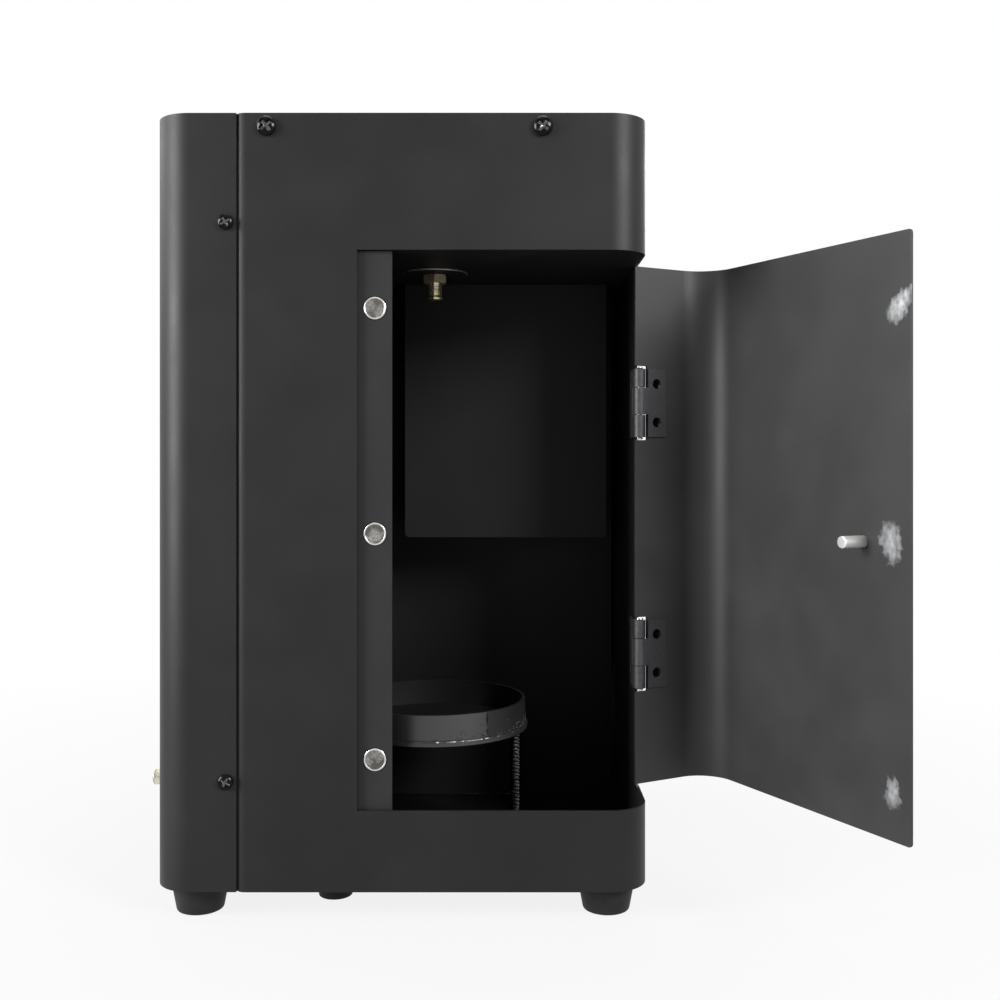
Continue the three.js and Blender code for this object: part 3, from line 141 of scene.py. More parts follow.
camera_data = bpy.data.cameras.new("camera")
camera_data.lens = LENS
camera_data.sensor_width = SENSOR
camera_data.shift_y = VIEW_DROP
camera_data.clip_start = 0.01
camera = in_scene("camera", camera_data)
camera.location = np.array(EYE) * MM
camera.rotation_euler = (math.radians(90), 0, 0)
bpy.context.scene.camera = camera
print("camera", tuple(round(v, 3) for v in camera.location))

# %% [markdown]
# A finish is a Principled shader with a few noise patterns behind it. Patterns are measured in
# millimetres on the Object coordinates, so a grain has its real size on a foot and on the cabinet
# alike. Values that are the same all over are written on the shader's own sockets.


# %% Start a finish
def add_node(tree, kind, inputs=(), **settings):
    """A node with its settings, and inputs that are either sockets to link or plain values."""
    made = tree.nodes.new(kind)
    for setting, value in settings.items():
        setattr(made, setting, value)
    for key, value in dict(inputs).items():
        if isinstance(value, bpy.types.NodeSocket):
            tree.links.new(value, made.inputs[key])
        else:
            made.inputs[key].default_value = value
    return made


class Finish:
    """A material with one Principled shader, and short ways to lay patterns on its sockets."""

    def __init__(self, name, colour, roughness, metallic=0.0, **sockets):
        self.material = bpy.data.materials.new(name)
        self.material.use_nodes = True
        self.nodes = self.material.node_tree.nodes
        self.links = self.material.node_tree.links
        self.shader = self.nodes["Principled BSDF"]
        self.set("Base Color", (*colour, 1.0))
        self.set("Roughness", roughness)
        self.set("Metallic", metallic)
        for socket, value in sockets.items():
            self.set(socket.replace("_", " "), value)
        self.place = self.nodes.new("ShaderNodeTexCoord").outputs["Object"]

    def set(self, socket, value):
        self.shader.inputs[socket].default_value = value

    def wire(self, output, socket):
        self.links.new(output, self.shader.inputs[socket])

    def node(self, kind, inputs=(), **settings):
        return add_node(self.material.node_tree, kind, inputs, **settings)

    def placed(self, stretch=(1, 1, 1)):
        """Object coordinates in millimetres, stretched by a factor along each axis."""
        scale = [s / MM for s in stretch]
        return self.node("ShaderNodeMapping", {"Vector": self.place, "Scale": scale}).outputs[0]

    def noise(self, size, detail=2.0, stretch=(1, 1, 1)):
        """Smooth noise whose blobs are about size millimetres across."""
        inputs = {"Vector": self.placed(stretch), "Scale": 1 / size, "Detail": detail}
        return self.node("ShaderNodeTexNoise", inputs).outputs["Fac"]

    def spread(self, source, low, high, start, end):
        """Values from low to high become values from start to end, held at both ends."""
        inputs = {"Value": source, 1: low, 2: high, 3: start, 4: end}
        return self.node("ShaderNodeMapRange", inputs).outputs[0]

    def maths(self, operation, a, b=0.0):
        return self.node("ShaderNodeMath", {0: a, 1: b}, operation=operation).outputs[0]

    def vector(self, operation, *inputs):
        """A sum or product of vectors, or the number that a dot product or a length gives."""
        made = self.node("ShaderNodeVectorMath", dict(enumerate(inputs)), operation=operation)
        return made.outputs["Value" if operation in ("DOT_PRODUCT", "LENGTH") else "Vector"]

    def blend(self, share, first, second):
        """A colour that goes from first to second as share goes from 0 to 1."""
        full = [(*c, 1.0) if isinstance(c, tuple) else c for c in (first, second)]
        inputs = {0: share, 6: full[0], 7: full[1]}
        return self.node("ShaderNodeMix", inputs, data_type="RGBA").outputs[2]

    def grain(self, *layers):
        """Bump from (height pattern, strength, depth in millimetres) layers, one after another."""
        normal = None
        for height, strength, depth in layers:
            inputs = {"Height": height, "Strength": strength, "Distance": depth * MM}
            if normal is not None:
                inputs["Normal"] = normal
            normal = self.node("ShaderNodeBump", inputs).outputs[0]
        self.wire(normal, "Normal")


# %% [markdown]
# The cabinet's powder coat is satin black. It is sprayed as dry powder and baked, which leaves a fine
# even grain under half a millimetre across and a shallow, wider orange peel. A little dust and
# handling vary its gloss from place to place. The roof's coat is duller, because dust settles there.
# The strip that the door shuts on, the chamber and the cup's ring have paler copies of the coat, each
# set to the tone that part shows: painted light. The strip is glossier than the chamber behind it. The
# cup has three coats: a glossy one on its ring, a darker, matt one inside, painted shade in its hollow,
# and a darker, duller one beyond its seam, painted shade there.

# %% Powder coat
COAT = (0.0140, 0.0141, 0.0144)
COAT_DUSTY = (0.0170, 0.0171, 0.0173)


def powder_coat(name, roughness, shade, shine=0.25):
    """Black powder: shade is its brightness, and shine is how strongly it reflects."""
    plain = tuple(value * shade for value in COAT)
    dusty = tuple(value * shade for value in COAT_DUSTY)
    coat = Finish(name, plain, roughness, Specular_IOR_Level=shine)
    clouds = coat.noise(38, 3)
    fine = coat.noise(0.42, 2)
    peel = coat.noise(2.2, 1)
    coat.wire(coat.blend(coat.spread(clouds, 0.42, 0.72, 0, 1), plain, dusty), "Base Color")
    varied = coat.maths("ADD", coat.spread(clouds, 0.3, 0.7, -0.04, 0.05), roughness)
    speckled = coat.maths("ADD", coat.spread(fine, 0.35, 0.65, -0.04, 0.04), varied)
    coat.wire(speckled, "Roughness")
    coat.grain((peel, 0.5, 0.03), (fine, 0.55, 0.04))
    return coat


cabinet_coat = powder_coat("cabinet_powder_coat", 0.47, 0.52, 0.21).material
roof_coat = powder_coat("roof_powder_coat", 0.72, 0.7, 0.1).material
# Paler copies of the cabinet's coat, set to each part's tone: painted light on the strip, the chamber and
# the cup's ring. The darker coats inside the cup and beyond its seam are painted shade.
lit_strip_coat = powder_coat("lit_strip_powder_coat", 0.5, 0.95, 0.2).material
chamber_light_and_shade_coat = powder_coat("chamber_light_and_shade_powder_coat", 0.55, 0.9, 0.1).material
lit_cup_coat = powder_coat("lit_cup_powder_coat", 0.36, 0.9, 0.7).material
inner_shade_and_seam_coat = powder_coat("inner_shade_and_seam_coat", 0.6, 0.55, 0.1).material
dull_shaded_cup_coat = powder_coat("dull_shaded_cup_coat", 0.46, 0.7, 0.3).material
print("coats", 7)

# %% [markdown]
# The door's outer side has the cabinet's coat. Its inner side has a paler copy of it, painted light over
# the whole inner side, which the three magnets have rubbed thin where they meet it each time it shuts, so
# that dull steel shows through. Each rub is a slanted oval with ragged, half bare edges. The magnets'
# places are turned about the hinge pin by the angle that the door stands open at, which gives the middle
# of each rub on the open door.

# %% Rubbed places on the door
DOOR_OPEN = math.radians(118)
SHEET = 1.5
pin_middle = middle("upper_hinge_pin")


def opened(x, y):
    """A point of the shut door, turned about the hinge pin to where it is on the open door."""
    dx, dy = x - pin_middle[0], y - pin_middle[1]
    cos, sin = math.cos(DOOR_OPEN), math.sin(DOOR_OPEN)
    return pin_middle[0] + dx * cos - dy * sin, pin_middle[1] + dx * sin + dy * cos


# For each rub: how far it lies towards the free edge and up from the magnet, its slant in degrees from
# level, half its length and width, how much narrower it gets along its length, and how bare it is
RUBS = {
    "upper": (2.0, -5.4, 46, 9.0, 4.8, 0.2, 0.85),
    "middle": (-4.0, -1.0, 98, 9.4, 5.8, -0.15, 0.62),
    "lower": (-3.0, -1.2, 84, 7.4, 3.8, 0.5, 0.62),
}
door_inward = np.array((-math.sin(DOOR_OPEN), math.cos(DOOR_OPEN), 0.0))
door_along = np.array((-math.cos(DOOR_OPEN), -math.sin(DOOR_OPEN), 0.0))
rub_places = {}
for height, (further, higher, *_) in RUBS.items():
    rub_x, _, rub_z = middle(f"magnet_{height}")
    rub_places[height] = np.array((*opened(rub_x - further, FRONT + SHEET), rub_z + higher))
print("rubs", {height: np.round(place, 1).tolist() for height, place in rub_places.items()})

# %% The door's coat
BARE = (0.50, 0.51, 0.52)
RAGGED_REACH = 9.0

# The inner side's coat is a paler copy of the cabinet's: painted light over the whole inner side.
door_lit_and_rubbed_finish = powder_coat("door_lit_and_rubbed_powder_coat", 0.48, 1.75)
door_place = door_lit_and_rubbed_finish.placed()
ragged = door_lit_and_rubbed_finish.node("ShaderNodeTexNoise", {"Vector": door_place, "Scale": 0.32, "Detail": 6.0})
jitter = door_lit_and_rubbed_finish.vector("SUBTRACT", ragged.outputs["Color"], (0.5, 0.5, 0.5))
swept = door_lit_and_rubbed_finish.vector("MULTIPLY_ADD", jitter, (RAGGED_REACH,) * 3, door_place)


def smear(centre, slant, length, width, taper, bareness):
    """How bare the door is: full inside the oval (u / L)^2 + (v / W)^2 = 1, fading out round its edge,
    where u and v run along and across the slant and W shrinks by the taper along u."""
    cos, sin = math.cos(math.radians(slant)), math.sin(math.radians(slant))
    up = np.array((0.0, 0.0, 1.0))
    offset = door_lit_and_rubbed_finish.vector("SUBTRACT", swept, tuple(centre))
    u = door_lit_and_rubbed_finish.vector("DOT_PRODUCT", offset, tuple((door_along * cos + up * sin) / length))
    v = door_lit_and_rubbed_finish.vector("DOT_PRODUCT", offset, tuple((up * cos - door_along * sin) / width))
    narrowing = door_lit_and_rubbed_finish.maths("ADD", door_lit_and_rubbed_finish.maths("MULTIPLY", u, -taper), 1.0)
    across = door_lit_and_rubbed_finish.maths("DIVIDE", v, narrowing)
    squares = [door_lit_and_rubbed_finish.maths("MULTIPLY", share, share) for share in (u, across)]
    return door_lit_and_rubbed_finish.spread(door_lit_and_rubbed_finish.maths("ADD", *squares), 0.0, 1.5, bareness, 0)


rub = None
for height, (_, _, *shape) in RUBS.items():
    patch = smear(rub_places[height], *shape)
    rub = patch if rub is None else door_lit_and_rubbed_finish.maths("MAXIMUM", rub, patch)
depth = door_lit_and_rubbed_finish.vector("DOT_PRODUCT", door_place, tuple(door_inward))
inner_depth = float(np.dot(rub_places["upper"], door_inward))
inside = door_lit_and_rubbed_finish.spread(depth, inner_depth - 0.9, inner_depth - 0.5, 0, 1)
streaks = door_lit_and_rubbed_finish.spread(door_lit_and_rubbed_finish.noise(2.6, 5, (1, 1, 0.6)), 0.32, 0.62, 0.45, 1)
rub = door_lit_and_rubbed_finish.maths("MULTIPLY", door_lit_and_rubbed_finish.maths("MULTIPLY", rub, inside), streaks)
lit_coat_colour = door_lit_and_rubbed_finish.shader.inputs["Base Color"].links[0].from_socket
coat_gloss = door_lit_and_rubbed_finish.shader.inputs["Roughness"].links[0].from_socket
door_lit_and_rubbed_finish.wire(door_lit_and_rubbed_finish.blend(rub, lit_coat_colour, BARE), "Base Color")
door_lit_and_rubbed_finish.wire(door_lit_and_rubbed_finish.maths("MULTIPLY", rub, 0.8), "Metallic")
rubbed_gloss = door_lit_and_rubbed_finish.maths("ADD", coat_gloss, door_lit_and_rubbed_finish.maths("MULTIPLY", rub, 0.12))
door_lit_and_rubbed_finish.wire(rubbed_gloss, "Roughness")
door_lit_and_rubbed_coat = door_lit_and_rubbed_finish.material
print("door coat nodes", len(door_lit_and_rubbed_finish.nodes))

# %% [markdown]
# The other finishes are short recipes of the same kind: a base, one or two noise patterns for colour
# and gloss, and a grain. Turned metal gets noise that is stretched round its axis in places, and
# plated parts get faint mottling from handling. Some of them, such as the tarnished brass and the
# blackened hinges, are only partly bare.


# %% Metals
def metal(
    name, colour, dull, roughness, rough_spread, size=3.0, stretch=(1, 1, 1), grain=0.006, bare=1.0,
):
    """A metal whose colour drifts towards a duller one, and whose gloss follows a stretched noise.
    Where bare is under 1, the rest is a matt tarnish of the same colour."""
    made = Finish(name, colour, roughness, bare)
    clouds = made.noise(size, 4)
    lines = made.noise(size / 5, 3, stretch)
    made.wire(made.blend(made.spread(clouds, 0.4, 0.68, 0, 1), colour, dull), "Base Color")
    gloss = made.spread(lines, 0.3, 0.7, roughness - rough_spread, roughness + rough_spread)
    made.wire(gloss, "Roughness")
    made.grain((lines, 0.4, grain))
    return made.material


brass = metal("machined_brass", (0.78, 0.56, 0.24), (0.52, 0.33, 0.12), 0.27, 0.09, 6, (1, 1, 4))
copper = metal("drawn_copper", (0.74, 0.40, 0.26), (0.45, 0.22, 0.14), 0.34, 0.08, 9)
fitting_brass = metal(
    "fitting_brass", (0.72, 0.65, 0.45), (0.50, 0.43, 0.26), 0.2, 0.06, 7, (1, 1, 4), bare=0.78)
hex_brass = metal("tarnished_brass", (0.34, 0.29, 0.20), (0.26, 0.21, 0.14), 0.5, 0.06, 5, bare=0.65)
plated_brass = metal("plated_brass", (0.74, 0.71, 0.64), (0.60, 0.56, 0.48), 0.24, 0.05, 5)
nickel = metal("nickel_plate", (0.64, 0.63, 0.61), (0.54, 0.53, 0.52), 0.24, 0.035, 6, grain=0.001)
zinc = metal("zinc_plate", (0.62, 0.63, 0.65), (0.48, 0.48, 0.46), 0.36, 0.1, 5)
screw_black = metal("black_oxide", (0.015,) * 3, (0.008,) * 3, 0.16, 0.05, 1.2, grain=0.05)
leaf_steel = metal(
    "blackened_leaf", (0.034, 0.034, 0.037), (0.026, 0.026, 0.028), 0.6, 0.05, 3, bare=0.55)
hinge_steel = metal(
    "blackened_hinge", (0.062, 0.062, 0.066), (0.044, 0.044, 0.047), 0.52, 0.05, 3, (1, 1, 0.2), bare=0.7)
recess_steel = metal("worn_recess", (0.15, 0.15, 0.145), (0.03,) * 3, 0.18, 0.05, 0.8)
# The shank's pale, partly matt metal is a painted sheen.
pale_sheen_shank = metal(
    "pale_sheen_shank", (0.74, 0.74, 0.72), (0.70, 0.70, 0.68), 0.22, 0.02, 9, grain=0.001, bare=0.55)
# A lighter steel for the washer's rim: a painted highlight.
washer_rim_highlight_steel = metal("washer_rim_highlight_steel", (0.36, 0.35, 0.32), (0.24, 0.23, 0.21), 0.34, 0.06, 4, bare=0.6)
stainless_rod = metal("electrode_steel", (0.55, 0.54, 0.53), (0.22, 0.19, 0.17), 0.38, 0.1, 3)
spring_wire = metal("spring_wire", (0.02, 0.02, 0.021), (0.012,) * 3, 0.18, 0.05, 2)
print("metals", 15)


# %% The magnets' worn faces
def worn_face():
    """Nickel under grey and brown stains: wide blotches, and fine pits inside them."""
    made = Finish("worn_magnet", (0.42, 0.42, 0.40), 0.34, 1.0)
    blotches = made.spread(made.noise(5.5, 3), 0.42, 0.58, 0, 1)
    pits = made.spread(made.noise(1.1, 3), 0.4, 0.62, 0, 1)
    stained = made.blend(blotches, (0.36, 0.36, 0.345), (0.085, 0.075, 0.07))
    made.wire(made.blend(made.maths("MULTIPLY", pits, 0.6), stained, (0.13, 0.12, 0.115)), "Base Color")
    made.wire(made.spread(blotches, 0, 1, 0.26, 0.5), "Roughness")
    made.grain((pits, 0.5, 0.03))
    return made.material


magnet_nickel = worn_face()
print("magnet finish", magnet_nickel.name)


# %% The heat-tinted outlet
def heat_tinted():
    """Stainless steel that goes from bright at its foot through straw and bronze to blue at its rim."""
    made = Finish("heat_tinted_steel", (0.62, 0.62, 0.61), 0.3, 1.0)
    low, high = span("outlet_collar")
    axes = made.node("ShaderNodeSeparateXYZ", {0: made.placed()})
    wobble = made.spread(made.noise(14, 3), 0.3, 0.7, -2.5, 2.5)
    height = made.maths("ADD", axes.outputs[2], wobble)
    rise = made.spread(height, low[2] + 15, high[2], 0, 1)
    ramp = made.node("ShaderNodeValToRGB", {0: rise})
    colours = ((0.0, (0.62, 0.62, 0.61)), (0.35, (0.60, 0.52, 0.38)), (0.6, (0.42, 0.26, 0.16)),
               (0.8, (0.25, 0.17, 0.26)), (1.0, (0.14, 0.18, 0.34)))
    ramp.color_ramp.elements[1].position = 1.0
    for place, _ in colours[1:-1]:
        ramp.color_ramp.elements.new(place)
    for element, (place, colour) in zip(ramp.color_ramp.elements, colours):
        element.position = place
        element.color = (*colour, 1)
    made.wire(ramp.outputs[0], "Base Color")
    spun = made.noise(0.8, 3, (0.25, 0.25, 3))
    made.wire(made.spread(spun, 0.3, 0.7, 0.22, 0.42), "Roughness")
    made.grain((spun, 0.3, 0.01))
    return made.material


collar_steel = heat_tinted()
print("outlet finish", collar_steel.name)


# %% Rubber, plastics, ceramic, board and resin
def moulded(name, colour, paler, roughness, size, grain_depth, **sockets):
    """A moulded part: one colour with slow paler drifts, and a fine even texture."""
    made = Finish(name, colour, roughness, 0.0, **sockets)
    drift = made.noise(14, 3)
    texture = made.noise(size, 2)
    made.wire(made.blend(made.spread(drift, 0.42, 0.7, 0, 1), colour, paler), "Base Color")
    made.wire(made.spread(texture, 0.3, 0.7, roughness - 0.06, roughness + 0.06), "Roughness")
    made.grain((texture, 0.5, grain_depth))
    return made.material


rubber = moulded("foot_rubber", (0.008,) * 3, (0.014,) * 3, 0.6, 0.6, 0.04, Specular_IOR_Level=0.22)
plastic = moulded("black_plastic", (0.018, 0.018, 0.019), (0.024, 0.024, 0.025), 0.42, 0.5, 0.02)
key_plastic = moulded("key_plastic", (0.035, 0.035, 0.037), (0.045, 0.045, 0.047), 0.38, 0.4, 0.015)
mark_white = moulded("white_marking", (0.72, 0.72, 0.70), (0.62, 0.62, 0.60), 0.5, 0.6, 0.01)
porcelain = moulded(
    "glazed_ceramic", (0.80, 0.77, 0.70), (0.66, 0.60, 0.50), 0.3, 1.5, 0.01, Coat_Weight=0.4)
board_green = moulded("solder_mask", (0.02, 0.13, 0.05), (0.03, 0.17, 0.07), 0.36, 1.2, 0.02)
resin = moulded("cast_resin", (0.022, 0.026, 0.034), (0.03, 0.034, 0.042), 0.34, 3.0, 0.03)
segment_red = moulded("unlit_segment", (0.30, 0.10, 0.08), (0.34, 0.12, 0.10), 0.5, 0.8, 0.01)
acrylic = Finish(
    "smoked_acrylic", (0.34, 0.05, 0.045), 0.04, 0.0, Transmission_Weight=1.0, IOR=1.49).material
print("moulded finishes", 9)

# %% [markdown]
# A copy of a node is dressed in two steps. Its loose triangles are merged and flat ones fused, then
# every sharp edge is rounded by a few tenths of a millimetre, as a sheet's deburred and painted edge
# is. A piece whose edges aren't rounded has its normals weighted by area instead. Either way a large
# flat face stays flat beside a bend.
# The shell's edge beside the front seam is rolled over a little, as shears leave it, so it shows as a
# lit band down the seam.


# %% Dress a node
def merged_copy(node, name):
    """A node's mesh with its doubled corners merged and its flat triangles fused into faces."""
    mesh = nodes[node].data.copy()
    mesh.name = name
    work = bmesh.new()
    work.from_mesh(mesh)
    bmesh.ops.remove_doubles(work, verts=work.verts, dist=1e-6)
    bmesh.ops.dissolve_limit(
        work, angle_limit=math.radians(0.4), verts=work.verts, edges=work.edges,
        use_dissolve_boundaries=False,
    )
    work.to_mesh(mesh)
    work.free()
    mesh.materials.clear()
    return mesh


def finish_piece(piece, body, replaced=None):
    """Says which body a piece moves with and what it stands for."""
    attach(piece, body)
    if replaced:
        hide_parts(*replaced)
    return piece


def places_of(mesh):
    """The places of a mesh's corners, in metres."""
    places = np.zeros(len(mesh.vertices) * 3)
    mesh.vertices.foreach_get("co", places)
    return places.reshape(-1, 3)


def also(piece, material, rule):
    """Puts one more material on the faces all of whose corners the rule picks, in millimetres."""
    mesh = piece.data
    round_faces = np.zeros(len(mesh.loops), dtype=np.int32)
    starts = np.zeros(len(mesh.polygons), dtype=np.int32)
    index = np.zeros(len(mesh.polygons), dtype=np.int32)
    mesh.loops.foreach_get("vertex_index", round_faces)
    mesh.polygons.foreach_get("loop_start", starts)
    mesh.polygons.foreach_get("material_index", index)
    picked = rule(places_of(mesh) / MM)
    index[np.logical_and.reduceat(picked[round_faces], starts)] = len(mesh.materials)
    mesh.materials.append(material)
    mesh.polygons.foreach_set("material_index", index)
    return piece


def dress(node, material, edge=0.25, sharp=34.0, second=None, shape=None):
    """A node's rounded copy. second is a material and a rule on corners for where it goes, and shape
    is a function that moves the mesh's corners first."""
    mesh = merged_copy(node, f"{node}_dressed")
    if shape:
        shape(mesh)
    piece = in_scene(f"{node}_dressed", mesh)
    mesh.materials.append(material)
    if second:
        also(piece, *second)
    mesh.shade_smooth()
    mesh.set_sharp_from_angle(angle=math.radians(sharp))
    if edge:
        bevel = piece.modifiers.new("edge", "BEVEL")
        bevel.width = edge * MM
        bevel.segments = 2
        bevel.limit_method = "ANGLE"
        bevel.angle_limit = math.radians(sharp)
        bevel.harden_normals = True
    else:
        weight = piece.modifiers.new("weight", "WEIGHTED_NORMAL")
        weight.keep_sharp = True
    body = nodes[node]["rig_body"]
    return finish_piece(piece, body, [node])


# %% The casing, the chamber and the door
CASING = ("main_shell", "control_cover", "base_plate")
CHAMBER = ("chamber_liner", "chamber_ceiling", "igniter_cover")
EDGE_ROLL, EDGE_DROP, EDGE_CUTS = 4.2, 0.9, 8
STRIP_DEPTH = 4.0


def rolled_edge(mesh):
    """The shears roll the shell's front edge over where it meets the seam. At a distance d from the
    edge the outer face is set back by EDGE_DROP (1 - d / EDGE_ROLL) squared, so it catches the light."""
    work = bmesh.new()
    work.from_mesh(mesh)
    seam_edge = min(corner.co.x for corner in work.verts if corner.co.y / MM < FRONT + 0.1) / MM
    for reach in np.linspace(0, EDGE_ROLL, EDGE_CUTS + 1)[1:]:
        cut = work.verts[:] + work.edges[:] + work.faces[:]
        place = ((seam_edge + float(reach)) * MM, 0, 0)
        bmesh.ops.bisect_plane(work, geom=cut, plane_co=place, plane_no=(1, 0, 0))
    for corner in work.verts:
        share = 1 - (corner.co.x / MM - seam_edge) / EDGE_ROLL
        if share > 0 and corner.co.y / MM < FRONT + 0.1:
            corner.co.y += EDGE_DROP * share ** 2 * MM
    work.to_mesh(mesh)
    work.free()


for node in CASING:
    dress(node, cabinet_coat, shape=rolled_edge if node == "main_shell" else None)
dress("top_plate", roof_coat)
for node in CHAMBER:
    dress(node, chamber_light_and_shade_coat, second=(lit_strip_coat, lambda c: c[:, 1] < FRONT + STRIP_DEPTH))
CUP_LIP, CUP_FLOOR = 1.3, 2.0
SEAM_ANGLE = math.radians(-54.0)
cup_low, cup_high, (cup_x, cup_y, _), cup_radius = whole("fuel_cup")
RING_RADIUS, RING_FOOT = cup_radius - CUP_LIP, cup_low[2] + CUP_FLOOR


def inside_the_ring(corners):
    """The cup's inner wall and floor, darker and matt: painted shade in the cup's hollow."""
    return away(corners, (cup_x, cup_y)) < RING_RADIUS - 0.6


def beyond_the_seam(corners):
    """The ring's outer wall from its seam round to the right, darker and duller: painted shade."""
    dx, dy = corners[:, 0] - cup_x, corners[:, 1] - cup_y
    angle = np.arctan2(dy, dx)
    outside = (np.hypot(dx, dy) > RING_RADIUS - 0.5) & (corners[:, 2] > RING_FOOT - 0.1)
    return outside & (angle > SEAM_ANGLE - 0.02) & (angle < 1.2)


# The ring's coat is paler, painted light; the coats inside and beyond the seam are darker, painted shade.
cup = dress("fuel_cup", lit_cup_coat, second=(inner_shade_and_seam_coat, inside_the_ring))
also(cup, dull_shaded_cup_coat, beyond_the_seam)
NOTCH_REACH = 4.6


def beside_the_pins(corners):
    """The cut edges of the door's notches and its lip's end, less than NOTCH_REACH from the pins."""
    return away(corners, pin_middle) < NOTCH_REACH


CORNER_RADIUS = 20.0
bend_middle = np.array((shell_high[0] - CORNER_RADIUS, FRONT + CORNER_RADIUS))


def outside_the_door(corners):
    """The outer side of the sheet: turned back to the shut door, it lies CORNER_RADIUS from the bend's
    middle, and from the two straight lines that run on from there."""
    cos, sin = math.cos(DOOR_OPEN), math.sin(DOOR_OPEN)
    offset = corners[:, :2] - pin_middle[:2]
    shut = offset @ np.array(((cos, -sin), (sin, cos))) + pin_middle[:2]
    beyond = np.maximum((shut - bend_middle) * (1, -1), 0)
    return np.hypot(beyond[:, 0], beyond[:, 1]) > CORNER_RADIUS - SHEET * 0.4


door = dress("door_panel", door_lit_and_rubbed_coat, second=(cabinet_coat, outside_the_door))
# The notches' cut edges get the chamber's darker, duller coat: painted shade beside the knuckles.
also(door, chamber_light_and_shade_coat, beside_the_pins)
print("sheet pieces", len(CASING) + len(CHAMBER) + 3, "edge roll", EDGE_ROLL, "mm")

# %% [markdown]
# Turned pieces are surfaces of revolution. A profile gives the radius and the distance along the
# axis, its corners are rounded, and it is swept round the axis on a grid of rings. A rule on that grid
# can then change the radius from place to place, which makes hexagons, knurls and threads.


# %% Surfaces of revolution
def grid_faces(rows, columns):
    """Four-cornered faces of a grid that closes on itself in the columns' direction."""
    row, column = np.meshgrid(np.arange(rows - 1), np.arange(columns), indexing="ij")
    following = (column + 1) % columns
    corners = (row * columns + column, row * columns + following,
               (row + 1) * columns + following, (row + 1) * columns + column)
    return np.stack(corners, axis=-1).reshape(-1, 4)


def rounded(points, radius, steps=4):
    """A polyline with each inner corner P replaced by the curve (1-t)^2 A + 2t(1-t) P + t^2 B, where A
    and B lie on its two sides, at most the radius and at most 0.45 of a side away from P."""
    points = np.array(points, float)
    corner = points[1:-1]
    back, ahead = points[:-2] - corner, points[2:] - corner
    back_length = np.linalg.norm(back, axis=1, keepdims=True)
    ahead_length = np.linalg.norm(ahead, axis=1, keepdims=True)
    reach = np.minimum(radius, 0.45 * np.minimum(back_length, ahead_length))
    start = (corner + back / back_length * reach)[:, None]
    end = (corner + ahead / ahead_length * reach)[:, None]
    t = np.linspace(0, 1, steps + 1)[None, :, None]
    curve = (1 - t) ** 2 * start + 2 * t * (1 - t) * corner[:, None] + t ** 2 * end
    return np.vstack([points[:1], curve.reshape(-1, 2), points[-1:]])


AXES = {
    "up": ((1, 0, 0), (0, 1, 0), (0, 0, 1)),
    "front": ((1, 0, 0), (0, 0, 1), (0, -1, 0)),
    "back": ((-1, 0, 0), (0, 0, 1), (0, 1, 0)),
    "left": ((0, -1, 0), (0, 0, 1), (-1, 0, 0)),
    "right": ((0, 1, 0), (0, 0, 1), (1, 0, 0)),
}


def mesh_piece(name, points, faces, material):
    """A smooth-shaded object at the origin from corner places in millimetres and their faces."""
    mesh = bpy.data.meshes.new(name)
    mesh.from_pydata((points * MM).tolist(), [], faces.tolist())
    work = bmesh.new()
    work.from_mesh(mesh)
    bmesh.ops.remove_doubles(work, verts=work.verts, dist=1e-7)
    bmesh.ops.recalc_face_normals(work, faces=work.faces)
    work.to_mesh(mesh)
    work.free()
    mesh.materials.append(material)
    mesh.shade_smooth()
    mesh.set_sharp_from_angle(angle=math.radians(40))
    return in_scene(name, mesh)


def ring_piece(name, rings, material):
    """A piece made of rings of corners, each joined to the next."""
    return mesh_piece(name, rings.reshape(-1, 3), grid_faces(*rings.shape[:2]), material)


def turned(name, start, towards, profile, material, edge=0.3, sides=64, rule=None):
    """x = r cos a, y = r sin a, z = h for each profile point (r, h) and each of the angles a, laid
    along the named direction from start. rule(r, h, a) gives new radii and heights on the grid."""
    line = rounded(profile, edge)
    angle = circle(sides)[None, :]
    radius = np.repeat(line[:, :1], sides, axis=1)
    height = np.repeat(line[:, 1:], sides, axis=1)
    if rule:
        radius, height = rule(radius, height, np.repeat(angle, len(line), axis=0))
    u, v, w = (np.array(axis, float) for axis in AXES[towards])
    place = (radius * np.cos(angle))[..., None] * u + (radius * np.sin(angle))[..., None] * v
    return ring_piece(name, place + height[..., None] * w + np.array(start, float), material)


# %% [markdown]
# The feet are black rubber cones with a soft edge round the sole, and the plunger of the tip-over
# switch is a smaller one under the cabinet. Both are dull, so only their round outline shows.

# %% Feet and plunger
STUD_RADIUS, STEM_RADIUS, FOOT_TAPER = 2.5, 4.0, 3.0
SOLE_HOLLOW, SOLE_WIDTH = 0.4, 4.0
rubber_top = shell_low[2] - SEAT_GAP
for corner in ("front_left", "front_right", "back_left", "back_right"):
    node = f"foot_{corner}"
    low, high, (x, y, _), top_radius = whole(node)
    sole = top_radius - FOOT_TAPER
    foot_profile = [
        (0, SOLE_HOLLOW), (sole - SOLE_WIDTH, SOLE_HOLLOW), (sole - 3.4, 0), (sole, 0),
        (top_radius, rubber_top), (STUD_RADIUS, rubber_top), (STUD_RADIUS, high[2]), (0, high[2]),
    ]
    foot = turned(f"rubber_{node}", (x, y, 0), "up", foot_profile, rubber, edge=1.3)
    finish_piece(foot, "cabinet", [node])

low, high, (x, y, _), plunger_radius = whole("tip_plunger")
plunger_profile = [
    (0, low[2]), (plunger_radius, low[2]), (plunger_radius, rubber_top),
    (STEM_RADIUS, rubber_top), (STEM_RADIUS, high[2]), (0, high[2]),
]
plunger = turned("tip_plunger_rubber", (x, y, 0), "up", plunger_profile, rubber, edge=1.1)
finish_piece(plunger, "plunger", ["tip_plunger"])
print("foot radius", round(top_radius, 1), "plunger radius", round(plunger_radius, 1))

